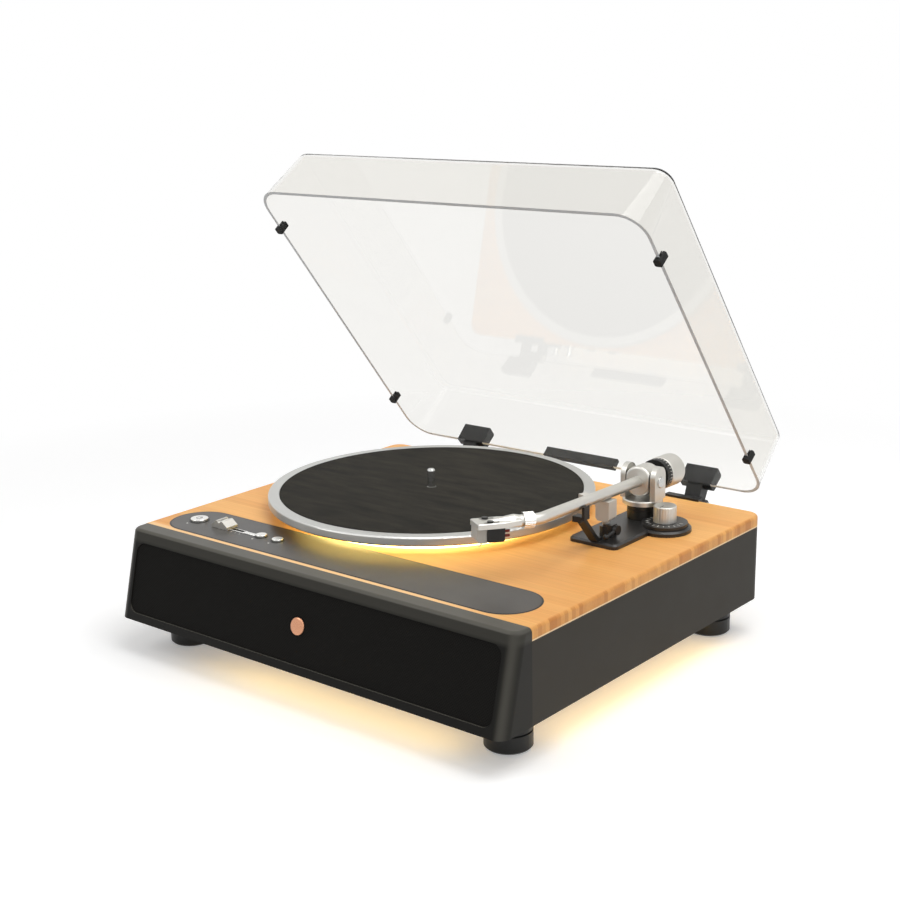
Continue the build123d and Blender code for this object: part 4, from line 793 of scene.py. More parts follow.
FELT = FeltMat("mat_felt", (37, 35, 30))
SILVER = TurnedMetal("satin_silver", (206, 204, 198), gloss=0.40)
RIM = TurnedMetal("platter_silver", (196, 196, 193), gloss=0.44, lines=(60.0, 60.0, 2500.0))
PEWTER = TurnedMetal("pewter", (64, 62, 59), gloss=0.44)
POLISHED = TurnedMetal("polished_silver", (232, 231, 227), gloss=0.16, spread=0.03)
STEEL = TurnedMetal("ground_steel", (196, 196, 194), gloss=0.24)
BRONZE = TurnedMetal("bronze", (182, 132, 84), gloss=0.36)
COPPER = TurnedMetal("copper_stud", (206, 150, 118), gloss=0.28)
FERRITE = TurnedMetal("ferrite", (60, 60, 62), gloss=0.60)
ACRYLIC = ClearAcrylic("clear_acrylic", (245, 244, 241))
CUT_EDGE = MouldedPlastic("satin_edge", (204, 206, 207), gloss=0.45, grain=1500.0, spread=0.15)
# paler copy of the cut edge's finish: painted light on the cover's rear edge
PAINTED_LIGHT_EDGE = MouldedPlastic("cut_edge_painted_light", (232, 238, 244), gloss=0.45, grain=1500.0, spread=0.10)
AMBER_RING = LightGuide("amber_ring", (255, 230, 140), power=11.5, node="light_ring",
                        share=(0.7008, 0.041, 0.5), far=0.115, outer=0.28)
AMBER_BARS = LightGuide("amber_bars", (255, 216, 124), power=3.8, node="cabinet_shell", near=0.07, inner=0.0)
MARKING = MouldedPlastic("pale_print", (214, 212, 206), gloss=0.55, grain=900.0)
RED = MouldedPlastic("red_plastic", (122, 30, 26), gloss=0.40)


def dress(nodes: Sequence[str], finish: Finish) -> None:
    """Give CAD nodes a finish.

    Args:
        nodes: Names of the nodes.
        finish: Finish that each of them gets.
    """
    material = PALETTE.get(finish)
    for name in nodes:
        mesh = frame["nodes"][name].data
        mesh.materials.clear()
        mesh.materials.append(material)
        LOG.info("%s in %s", name, finish.name)


@dataclass(frozen=True)
class Place:
    """Local frame: an origin and three axes in the row frame.

    Attributes:
        origin: Origin in metres.
        axes: Rows are the local X, Y and Z axes.
    """

    origin: np.ndarray
    axes: np.ndarray = field(default_factory=lambda: np.eye(3))

    def put(self, points: np.ndarray) -> np.ndarray:
        """Carry local points into the row frame."""
        return points @ self.axes + self.origin

    def moved(self, x: float, y: float, z: float) -> "Place":
        """Give the same axes at a place moved along them."""
        return Place(self.put(np.array([x, y, z])), self.axes)

    def turned(self, axes: np.ndarray) -> "Place":
        """Give the place with its axes replaced by a local turn of them."""
        return Place(self.origin, axes @ self.axes)


def turn(axis: str, angle: float) -> np.ndarray:
    """Give the row-wise turn about a local axis by degrees.

    Args:
        axis: x or z.
        angle: Degrees, right-handed.

    Returns:
        Three rows, the turned X, Y and Z axes.
    """
    c, s = np.cos(np.radians(angle)), np.sin(np.radians(angle))
    rows = {"x": [[1, 0, 0], [0, c, s], [0, -s, c]], "z": [[c, s, 0], [-s, c, 0], [0, 0, 1]]}
    return np.array(rows[axis], dtype=float)


@dataclass
class Patch:
    """Surface as a grid of points.

    Attributes:
        points: Rows and columns of points.
        closed_columns: Whether the last column joins up with the first.
    """

    points: np.ndarray
    closed_columns: bool = True

    def faces(self) -> np.ndarray:
        """Give the four corners of each cell of the grid as point numbers."""
        rows, columns = self.points.shape[:2]
        cells = columns if self.closed_columns else columns - 1
        i, j = np.meshgrid(np.arange(rows - 1), np.arange(cells), indexing="ij")
        here, after = i * columns, (i + 1) * columns
        j2 = (j + 1) % columns
        return np.stack([here + j, here + j2, after + j2, after + j], axis=-1).reshape(-1, 4)


@dataclass
class Skin:
    """Triangles taken over from a CAD node's mesh, moved out a little.

    Attributes:
        points: Three corners of each triangle.
    """

    points: np.ndarray

    def faces(self) -> np.ndarray:
        """Give the three corners of each triangle as point numbers."""
        return np.arange(self.points.size // 3).reshape(-1, 3)


def piece(name: str, patches: Sequence[Patch | Skin], finish: Finish, body: Body,
          smooth: float = 40.0) -> None:
    """Join grids into one mesh object that rides on a body.

    Args:
        name: Name of the piece.
        patches: Grids of points in the row frame.
        finish: Finish of the piece.
        body: Body that it moves with.
        smooth: Edges under this many degrees are smooth.
    """
    points, faces, start = [], [], 0
    for patch in patches:
        points.append(patch.points.reshape(-1, 3))
        faces.append(patch.faces() + start)
        start += points[-1].shape[0]
    mesh = bpy.data.meshes.new(name)
    mesh.from_pydata(np.concatenate(points).tolist(), [], np.concatenate(faces).tolist())
    mesh.validate()
    shell = bmesh.new()
    shell.from_mesh(mesh)
    bmesh.ops.remove_doubles(shell, verts=shell.verts, dist=1e-7)
    bmesh.ops.recalc_face_normals(shell, faces=shell.faces)
    shell.to_mesh(mesh)
    shell.free()
    mesh.polygons.foreach_set("use_smooth", np.ones(len(mesh.polygons), dtype=bool))
    mesh.set_sharp_from_angle(angle=np.radians(smooth))
    mesh.materials.append(PALETTE.get(finish))
    thing = bpy.data.objects.new(name, mesh)
    bpy.context.scene.collection.objects.link(thing)
    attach(thing, body.value)
    LOG.info("%s on %s, %d faces", name, body.value, len(mesh.polygons))


def lathe(profile: Sequence[Pair], place: Place, steps: int = 40) -> Patch:
    """Turn a profile about the local Z axis: radius times the cosine and sine of the turn, at each height.

    Args:
        profile: Radius and height, from the foot up, in metres.
        place: Local frame.
        steps: Points round the turn.

    Returns:
        Grid of the turned surface.
    """
    shape = np.array(profile, dtype=float)
    angle = np.linspace(0.0, 2 * np.pi, steps, endpoint=False)
    radius, height = shape[:, :1], np.repeat(shape[:, 1:], steps, axis=1)
    return Patch(place.put(np.stack([radius * np.cos(angle), radius * np.sin(angle), height], axis=-1)))


def stadium(length: float, width: float, steps: int = 24) -> np.ndarray:
    """Give the outline of a slot with round ends, along X: two half turns, one at each end.

    Args:
        length: Length over all.
        width: Width.
        steps: Points at each end.

    Returns:
        Points of X and Y, in order round the outline.
    """
    half = np.linspace(-np.pi / 2, np.pi / 2, steps)
    angle = np.concatenate([half, half + np.pi])
    shift = np.repeat([length / 2 - width / 2, width / 2 - length / 2], steps)
    return np.stack([width / 2 * np.cos(angle) + shift, width / 2 * np.sin(angle)], axis=-1)


def rail(outline: Sequence[np.ndarray], heights: Sequence[float], place: Place) -> Patch:
    """Join outlines of the same count at their heights into one ring-shaped surface.

    Args:
        outline: Outlines of X and Y, from one edge of the ring to the other.
        heights: Height of each outline.
        place: Local frame.

    Returns:
        Grid whose rows are the outlines.
    """
    rows = [np.column_stack([o, np.full(len(o), h)]) for o, h in zip(outline, heights)]
    return Patch(place.put(np.stack(rows)))


def block(size: Triple, place: Place, ease: float, steps: int = 48, square: float = 0.25) -> Patch:
    """Make a rounded block as rings of a superellipse, from its foot to its top.

    A ring's X and Y are the cosine and sine of the turn, each with its sign, raised to a power under 1.

    Args:
        size: Length along X, Y and Z; the foot is at local z of 0.
        place: Local frame.
        ease: Rounding of the upper edge in metres.
        steps: Points round a ring.
        square: Power of the superellipse, which nears a box at 0.

    Returns:
        Grid of the block, closed at both ends.
    """
    angle = np.linspace(0.0, 2 * np.pi, steps, endpoint=False)
    round_ring = np.stack([np.cos(angle), np.sin(angle)], axis=-1)
    ring = np.sign(round_ring) * np.abs(round_ring) ** square
    middle_inset, first = 0.5 * min(size[:2]), 0.3 * ease
    inset = np.array([middle_inset, 0.0, 0.0, first, ease, middle_inset])
    level = np.array([0.0, 0.0, size[2] - ease, size[2] - first, size[2], size[2]])
    half = np.maximum(np.array(size[:2])[None, :] / 2 - inset[:, None], 0.0)
    rows = ring[None, :, :] * half[:, None, :]
    rows = np.concatenate([rows, np.broadcast_to(level[:, None, None], rows.shape[:2] + (1,))], axis=-1)
    return Patch(place.put(rows))


def joint(name: str) -> dict[str, Any]:
    """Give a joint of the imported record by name."""
    return next(j for j in frame["record"]["behaviour"]["joints"] if j["name"] == name)


def corners(node: str) -> tuple[np.ndarray, np.ndarray]:
    """Give a node's lowest and highest corners as arrays."""
    low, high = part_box(node)
    return np.array(low), np.array(high)


def middle(node: str) -> np.ndarray:
    """Give the middle of a node's box."""
    low, high = corners(node)
    return (low + high) / 2


def over(node: str, height: Optional[float] = None) -> Place:
    """Give a local frame over a node's middle.

    Args:
        node: Name of the node.
        height: Height of the frame, or None for the node's top.

    Returns:
        Local frame with the row frame's axes.
    """
    x, y, _ = middle(node)
    return Place(np.array([x, y, corners(node)[1][2] if height is None else height]))


@dataclass
class Studio:
    """Camera, lamps, pale floor and white surround.

    Attributes:
        eye: Place of the camera, its Y counted from the cabinet's back.
        right: Camera's X axis.
        upward: Camera's Y axis.
        lens: Focal length in mm.
        sensor: Width of the sensor in mm.
        shift: Lens shift as shares of the picture's side.
        lamps: Place and power in watts of each soft box, by name.
        soft_box: Side of a soft box.
        aim: Place that the soft boxes face.
        surround: Light of the surround where it isn't seen.
        floor_reach: Half the side of the floor.
        floor_cells: Cells along a side of the floor.
        floor_tone: Linear grey of the floor.
        floor_fade: Distances between which the floor fades to white.
        floor_lift: Light added to the floor where it is seen.
    """

    eye: Triple = (0.83965, -1.186351, 0.52488)
    right: Triple = (0.76574, 0.64271, -0.02384)
    upward: Triple = (-0.17021, 0.23825, 0.95617)
    lens: float = 61.54
    sensor: float = 36.0
    shift: Pair = (0.0200, 0.0605)
    lamps: dict[str, tuple[Triple, float]] = field(default_factory=lambda: {
        "key_light": ((-1.2, -1.4, 1.9), 11.0),
        "fill_light": ((1.8, -0.6, 1.2), 4.5),
        "top_light": ((0.55, 0.10, 1.6), 15.0)})
    soft_box: float = 1.2
    aim: Triple = (0.0, 0.0, 0.12)
    surround: float = 0.38
    floor_reach: float = 6.0
    floor_cells: int = 24
    floor_tone: float = 0.88
    floor_fade: Pair = (0.55, 1.0)
    floor_lift: float = 0.285

    def hang(self, name: str, data: bpy.types.ID, x: np.ndarray, y: np.ndarray,
             spot: np.ndarray) -> bpy.types.Object:
        """Put a camera or a lamp into the scene.

        Args:
            name: Name of the object.
            data: Camera or lamp.
            x: Its X axis.
            y: Its Y axis.
            spot: Its place.

        Returns:
            The new object.
        """
        pose = np.eye(4)
        pose[:3, :] = np.stack([x, y, np.cross(x, y), spot], axis=1)
        thing = bpy.data.objects.new(name, data)
        thing.matrix_world = Matrix(pose.tolist())
        bpy.context.scene.collection.objects.link(thing)
        return thing

    def camera(self) -> None:
        """Set the camera that looks as the photograph does."""
        data = bpy.data.cameras.new("camera")
        data.lens, data.sensor_width = self.lens, self.sensor
        data.shift_x, data.shift_y = self.shift
        data.dof.use_dof = False
        x, y = np.array(self.right), np.array(self.upward)
        x = x / np.linalg.norm(x)
        y = y - x * (x @ y)
        y = y / np.linalg.norm(y)
        back = corners("cabinet_shell")[1][1]
        spot = np.array(self.eye) + np.array([0.0, back, 0.0])
        bpy.context.scene.camera = self.hang("camera", data, x, y, spot)

    def lamp(self, name: str, spot: Triple, power: float) -> None:
        """Hang a square soft box that faces the object.

        Args:
            name: Name of the lamp.
            spot: Where it hangs.
            power: Power in watts.
        """
        data = bpy.data.lights.new(name, "AREA")
        data.size, data.energy = self.soft_box, power
        back = np.array(spot) - np.array(self.aim)
        back = back / np.linalg.norm(back)
        side = np.cross([0.0, 0.0, 1.0], back)
        side = side / np.linalg.norm(side)
        self.hang(name, data, side, np.cross(back, side), np.array(spot))

    def seen(self, graph: Graph) -> Socket:
        """Give 1 for rays that see the surround: from the camera, a reflection or through clear plastic."""
        path = graph.add("LightPath")
        shown = graph.math("MAXIMUM", path.outputs["Is Camera Ray"], path.outputs["Is Glossy Ray"])
        return graph.math("MAXIMUM", shown, path.outputs["Is Transmission Ray"])

    def surroundings(self) -> None:
        """Make the world: white where it is seen, and a plain soft level of light elsewhere."""
        world = bpy.data.worlds.new("surround")
        world.use_nodes = True
        bpy.context.scene.world = world
        graph = Graph(world.node_tree)
        backdrop = world.node_tree.nodes["Background"]
        graph.feed(backdrop.inputs["Strength"], graph.span(self.seen(graph), self.surround, 1.0))
        backdrop.inputs["Color"].default_value = WHITE

    def floor_material(self) -> bpy.types.Material:
        """Make the floor's material: a matt grey, lifted where it is seen, that fades to white far off."""
        material = bpy.data.materials.new("pale_floor")
        material.use_nodes = True
        graph = Graph(material.node_tree)
        shader = material.node_tree.nodes["Principled BSDF"]
        shader.inputs["Base Color"].default_value = (self.floor_tone, self.floor_tone, self.floor_tone, 1.0)
        shader.inputs["Roughness"].default_value = 1.0
        shader.inputs["Specular IOR Level"].default_value = 0.0
        place = graph.add("TexCoord").outputs["Object"]
        away = graph.add("VectorMath", {0: place}, operation="LENGTH").outputs["Value"]
        fade = graph.ramp(away, self.floor_fade)
        white = graph.add("Emission", {"Color": WHITE, "Strength": 1.0})
        lift = graph.times(self.seen(graph), self.floor_lift)
        lifted = graph.add("Emission", {"Color": WHITE, "Strength": lift})
        near = graph.add("AddShader", {0: shader.outputs[0], 1: lifted.outputs[0]})
        far = graph.add("MixShader", {0: self.seen(graph), 1: shader.outputs[0], 2: white.outputs[0]})
        surface = graph.add("MixShader", {0: fade, 1: near.outputs[0], 2: far.outputs[0]})
        graph.feed(material.node_tree.nodes["Material Output"].inputs["Surface"], surface.outputs[0])
        return material

    def floor(self) -> None:
        """Lay a pale floor that fades to white away from the object and keeps its shadow."""
        reach = np.linspace(-self.floor_reach, self.floor_reach, self.floor_cells + 1)
        x, y = np.meshgrid(reach, reach, indexing="ij")
        mesh = bpy.data.meshes.new("floor")
        patch = Patch(np.stack([x, y, np.zeros_like(x)], axis=-1), closed_columns=False)
        mesh.from_pydata(patch.points.reshape(-1, 3).tolist(), [], patch.faces().tolist())
        mesh.materials.append(self.floor_material())
        thing = bpy.data.objects.new("floor", mesh)
        bpy.context.scene.collection.objects.link(thing)

    def build(self) -> None:
        """Set up the whole studio."""
        bpy.context.scene.view_settings.view_transform = "Standard"
        self.camera()
        self.surroundings()
        self.floor()
        for name, (spot, power) in self.lamps.items():
            self.lamp(name, spot, power)


@dataclass
class Screw:
    """Round-headed screw with a round recess.

    Attributes:
        radius: Radius of the head.
        height: Height of the head.
    """

    radius: float = 0.0028
    height: float = 0.0013

    def heads(self, spots: Sequence[Sequence[float]], axes: np.ndarray) -> list[Patch]:
        """Turn a head at each spot, seated on the plane through it.

        Args:
            spots: Places of the heads.
            axes: Turn that points the local Z axis out of the head.

        Returns:
            One grid for each head.
        """
        r, h = self.radius, self.height
        dome = [(0.0, -h), (r * 0.6, -h), (r, 0.0), (r, h * 0.35), (r * 0.85, h * 0.8), (r * 0.5, h),
                (r * 0.34, h), (r * 0.22, h * 0.25), (0.0, h * 0.2)]
        return [lathe(dome, Place(np.array(spot), axes), steps=24) for spot in spots]


class SubAssembly:
    """Base of the sub-assemblies: CAD nodes to dress and small pieces to build."""

    def dress(self) -> None:
        """Give the CAD nodes their finishes; each sub-assembly has its own."""
        raise NotImplementedError

    def build(self) -> None:
        """Build the small pieces, where the solids leave any out."""


@dataclass
class Cabinet(SubAssembly):
    """Bamboo top, charcoal case, feet, light bars and the screws underneath.

    Attributes:
        screw_inset: Distance of the underside's screws from its edges.
        screw_margin: Distance of the side rows' first and last screw from its front and back.
        rear_row: Places along the rear row, whose two ends stay free.
        screw: Screw used underneath.
    """

    screw_inset: float = 0.016
    screw_margin: float = 0.11
    rear_row: int = 5
    screw: Screw = field(default_factory=Screw)

    def dress(self) -> None:
        """Give the case its finishes."""
        dress(["top_plate"], BAMBOO)
        dress(["cabinet_shell"], CHARCOAL)
        dress(["bottom_panel", "speaker_baffle"], BOARD)
        dress(["feet"], BLACK)
        dress(["foot_pads"], RUBBER)
        dress(["foot_screws"], STEEL)
        dress(["glow_bars"], AMBER_BARS)
        dress(["amplifier_board", "control_board"], CIRCUIT)

    def build(self) -> None:
        """Put screws along the bottom panel's sides and back."""
        low, high = corners("bottom_panel")
        x = np.linspace(low[0] + self.screw_inset, high[0] - self.screw_inset, self.rear_row)
        y = np.linspace(low[1] + self.screw_margin, high[1] - self.screw_margin, 3)
        spots = [(side, along, low[2]) for side in (x[0], x[-1]) for along in y]
        spots += [(across, high[1] - self.screw_inset, low[2]) for across in x[1:-1]]
        heads = self.screw.heads(spots, turn("x", 180.0))
        piece("underside_screws", heads, STEEL, Body.CABINET)


@dataclass
class FrontSpeaker(SubAssembly):
    """Slanted bezel, grille cloth and the speakers behind it.

    Attributes:
        stud_radius: Radius of the plain copper stud on the cloth.
        stud_height: How far it stands out.
        stud_seat: How far it sinks into the cloth.
        cloth: Part of the cloth's depth in Y that is its own thickness.
    """

    stud_radius: float = 0.0075
    stud_height: float = 0.0016
    stud_seat: float = 0.0002
    cloth: float = 0.0012

    def dress(self) -> None:
        """Give the front its finishes."""
        dress(["front_bezel"], BEZEL)
        dress(["grille_cloth"], CLOTH)
        dress(["grille_frame", "speaker_baskets"], BLACK)
        dress(["speaker_magnets"], FERRITE)
        dress(["speaker_cones"], PAPER)

    def build(self) -> None:
        """Set a plain domed stud in the middle of the cloth."""
        low, high = corners("grille_cloth")
        drop, run = high[2] - low[2], high[1] - low[1] - self.cloth
        lean = np.degrees(np.arctan2(run, drop))
        centre = np.array([0.0, low[1] + run / 2, (low[2] + high[2]) / 2])
        place = Place(centre, turn("x", 90.0 - lean))
        r, h, seat = self.stud_radius, self.stud_height, -self.stud_seat
        dome = [(0.0, seat), (r, seat), (r, h * 0.4), (r * 0.94, h * 0.75), (r * 0.8, h), (0.0, h * 1.15)]
        piece("grille_stud", [lathe(dome, place, steps=48)], COPPER, Body.CABINET)


@dataclass
class ControlPanel(SubAssembly):
    """Strip let into the top, its buttons, the slider and its polished slot.

    Attributes:
        slot_width: Width over the slot's polished lining.
        slot_wall: Width of the lining.
        slot_ease: Rounding of the lining's outer edge.
        slot_play: Length of the slot past the slider's travel.
        slot_rise: How far the lining stands out.
        slot_depth: How far it reaches down.
        plate: Length of the polished plate past the slot's end.
        plate_overlap: How far that plate's middle lies back over the lining.
        plate_less: How much narrower than the lining it is.
        plate_rise: How far its edge and its middle stand out.
        plate_close: Share of its width by which it closes to its middle line.
        rim: How far the slot's dark surround reaches past it.
        rim_ease: Rounding of the surround's outer edge.
        rim_lap: How far it reaches in under the lining.
        rim_rise: How far the surround stands out.
        rim_shift: How far the surround's middle lies to the left of the slot's and plate's.
        ring: Profile of a button's ring, its radii counted from its seat's.
        button_flare: How far a button reaches over its ring's seat.
        mark: Radius of a printed dot.
        mark_gap: Distance of a dot from its button, and of a tick from the slot.
        mark_shift: How far a dot lies to the left, as a share of the seat's radius.
        tick: Width and length of a printed tick.
        ticks: Number of ticks along the slot.
        print_rise: Height of the print.
        print_ease: Rounding of the print's edge.
        edge_shadow_width: Width of the seam over both sides of the strip's edge.
        edge_shadow_lift: How far the seam stands off the board and the strip.
        sign_radii: Radii of the on-off sign.
        sign_rise: Height of the sign's ring and of the grip line.
        sign_bar: Width and length of the sign's bar.
        sign_bar_place: Distance of the bar from the sign's middle.
        grip: Width of the slider's grip line.
        grip_share: Its length as a share of the cap's.
    """

    slot_width: float = 0.0058
    slot_wall: float = 0.0011
    slot_ease: float = 0.00025
    slot_play: float = 0.0006
    slot_rise: float = 0.00025
    slot_depth: float = 0.0012
    plate: float = 0.012
    plate_overlap: float = 0.0016
    plate_less: float = 0.0012
    plate_rise: Pair = (0.00028, 0.00030)
    plate_close: float = 0.99
    # rim: How far the slot's dark surround, a painted shadow, reaches past it.
    rim: float = 0.0012
    rim_ease: float = 0.0001
    rim_lap: float = 0.0002
    rim_rise: float = 0.0001
    rim_shift: float = 0.0003
    ring: tuple[Pair, ...] = ((0.0001, 0.0), (0.0002, 0.0003), (0.0009, 0.0003), (0.0011, 0.0))
    button_flare: float = 0.0007
    mark: float = 0.0009
    mark_gap: Pair = (0.004, 0.0035)
    mark_shift: float = 0.35
    tick: Pair = (0.0004, 0.0016)
    ticks: int = 6
    print_rise: float = 0.00008
    print_ease: float = 0.00002
    # edge_shadow_width: Width of the painted shadow over both sides of the strip's edge.
    edge_shadow_width: float = 0.0016
    # edge_shadow_lift: How far the painted shadow stands off the board and the strip.
    edge_shadow_lift: float = 0.00002
    sign_radii: Pair = (0.0023, 0.0029)
    sign_rise: float = 0.00006
    sign_bar: Pair = (0.0007, 0.0026)
    sign_bar_place: float = 0.0024
    grip: float = 0.0007
    grip_share: float = 0.6

    def dress(self) -> None:
        """Give the controls their finishes."""
        dress(["control_strip"], STRIP)
        dress(["power_button", "source_button", "light_button"], POLISHED)
        dress(["volume_slider"], SILVER)

    def build(self) -> None:
        """Line the slot, ring the buttons, print the small marks and lay the painted shadow along the strip's
        edge.
        """
        travel = joint("volume_slide")["range_m"][1]
        slot = over("volume_slider", corners("control_strip")[1][2]).moved(travel / 2, 0.0, 0.0)
        self.lining(slot, travel + self.slot_width + self.slot_play)
        self.buttons(slot, travel)
        self.edge_shadow()
        self.signs()

    def lining(self, slot: Place, length: float) -> None:
        """Line the slot and lay the plate past its end and the dark surround of painted shadow, all rings of
        slot outlines.

        Args:
            slot: Frame in the slot's middle.
            length: Length over the lining.
        """
        width, rise = self.slot_width, self.slot_rise
        less = (0.0, 2 * self.slot_ease, 2 * self.slot_wall, 2 * self.slot_wall)
        outline = [stadium(length - cut, width - cut) for cut in less]
        trim = rail(outline, [0.0, rise, rise, -self.slot_depth], slot)
        end = slot.moved((length + self.plate) / 2 - self.plate_overlap, 0.0, 0.0)
        narrow = width - self.plate_less
        less = (0.0, 2 * self.slot_ease, self.plate_close * narrow)
        tongue = [stadium(self.plate + narrow - cut, narrow - cut) for cut in less]
        cover = rail(tongue, [0.0, *self.plate_rise], end)
        piece("slot_lining", [trim, cover], POLISHED, Body.CABINET)
        whole = length + self.plate
        more = (self.rim, self.rim - self.rim_ease, -self.rim_lap)
        surround = [stadium(whole + 2 * add, width + 2 * add) for add in more]
        middle_place = slot.moved(self.plate / 2 - self.rim_shift, 0.0, 0.0)
        # painted shadow: a thin dark ring round the slot and its plate
        shadow = rail(surround, [0.0, self.rim_rise, self.rim_rise], middle_place)
        piece("slot_painted_shadow", [shadow], BLACK, Body.CABINET)

    def buttons(self, slot: Place, travel: float) -> None:
        """Ring the buttons, and print a dot by each and ticks along the slot.

        Args:
            slot: Frame in the slot's middle.
            travel: Travel of the slider.
        """
        rings, prints = [], []
        by_button, by_slot = self.mark_gap
        dot = [(self.mark, 0.0), (self.mark * 0.9, self.print_rise), (0.0, self.print_rise)]
        for node in ("power_button", "source_button", "light_button"):
            low, high = corners(node)
            radius = (high[0] - low[0]) / 2 - self.button_flare
            base = over(node, slot.origin[2])
            rings.append(lathe([(radius + more, rise) for more, rise in self.ring], base, steps=48))
            spot = base.moved(-self.mark_shift * radius, -radius - by_button, 0.0)
            prints.append(lathe(dot, spot, steps=16))
        piece("button_rings", rings, BLACK, Body.CABINET)
        for along in np.linspace(-travel / 2, travel / 2, self.ticks):
            spot = slot.moved(along, -self.slot_width / 2 - by_slot, 0.0)
            prints.append(block((*self.tick, self.print_rise), spot, self.print_ease))
        piece("panel_marks", prints, MARKING, Body.CABINET)

    def edge_shadow(self) -> None:
        """Lay a painted shadow, a dark band, over the step from the strip to the board: slot outlines, each
        at its height.
        """
        low, high = corners("control_strip")
        board = corners("top_plate")[1][2]
        length, width, _ = high - low
        outline = [stadium(length + more, width + more) for more in (self.edge_shadow_width, 0.0, -self.edge_shadow_width)]
        heights = [board + self.edge_shadow_lift, high[2] + 2 * self.edge_shadow_lift, high[2] + self.edge_shadow_lift]
        # painted shadow: a dark band over the strip's edge
        edge_shadow = rail(outline, heights, over("control_strip", 0.0))
        piece("strip_edge_shadow", [edge_shadow], BLACK, Body.CABINET)

    def signs(self) -> None:
        """Print a plain on-off sign on the power button and score a grip line across the slider's cap."""
        face = over("power_button")
        (inner, outer), rise = self.sign_radii, self.sign_rise
        ring = [(inner, 0.0), (inner, rise), (outer, rise), (outer, 0.0)]
        spot = face.moved(0.0, self.sign_bar_place, 0.0)
        bar = block((*self.sign_bar, self.print_rise), spot, self.print_ease)
        piece("power_sign", [lathe(ring, face, steps=48), bar], DARK, Body.POWER)
        low, high = corners("volume_slider")
        length = self.grip_share * (high[1] - low[1])
        line = block((self.grip, length, rise), over("volume_slider"), self.print_ease)
        piece("slider_line", [line], DARK, Body.SLIDER)


@dataclass
class PlatterDrive(SubAssembly):
    """Platter, mat, spindle and the belt drive under it."""

    def dress(self) -> None:
        """Give the platter and its drive their finishes."""
        dress(["platter"], RIM)
        dress(["slip_mat"], FELT)
        dress(["spindle_shaft", "thrust_ball", "drive_motor"], STEEL)
        dress(["sub_platter"], BLACK)
        dress(["bearing_housing"], SILVER)
        dress(["bearing_bush", "motor_pulley"], BRONZE)
        dress(["drive_belt"], RUBBER)
        dress(["light_ring"], AMBER_RING)


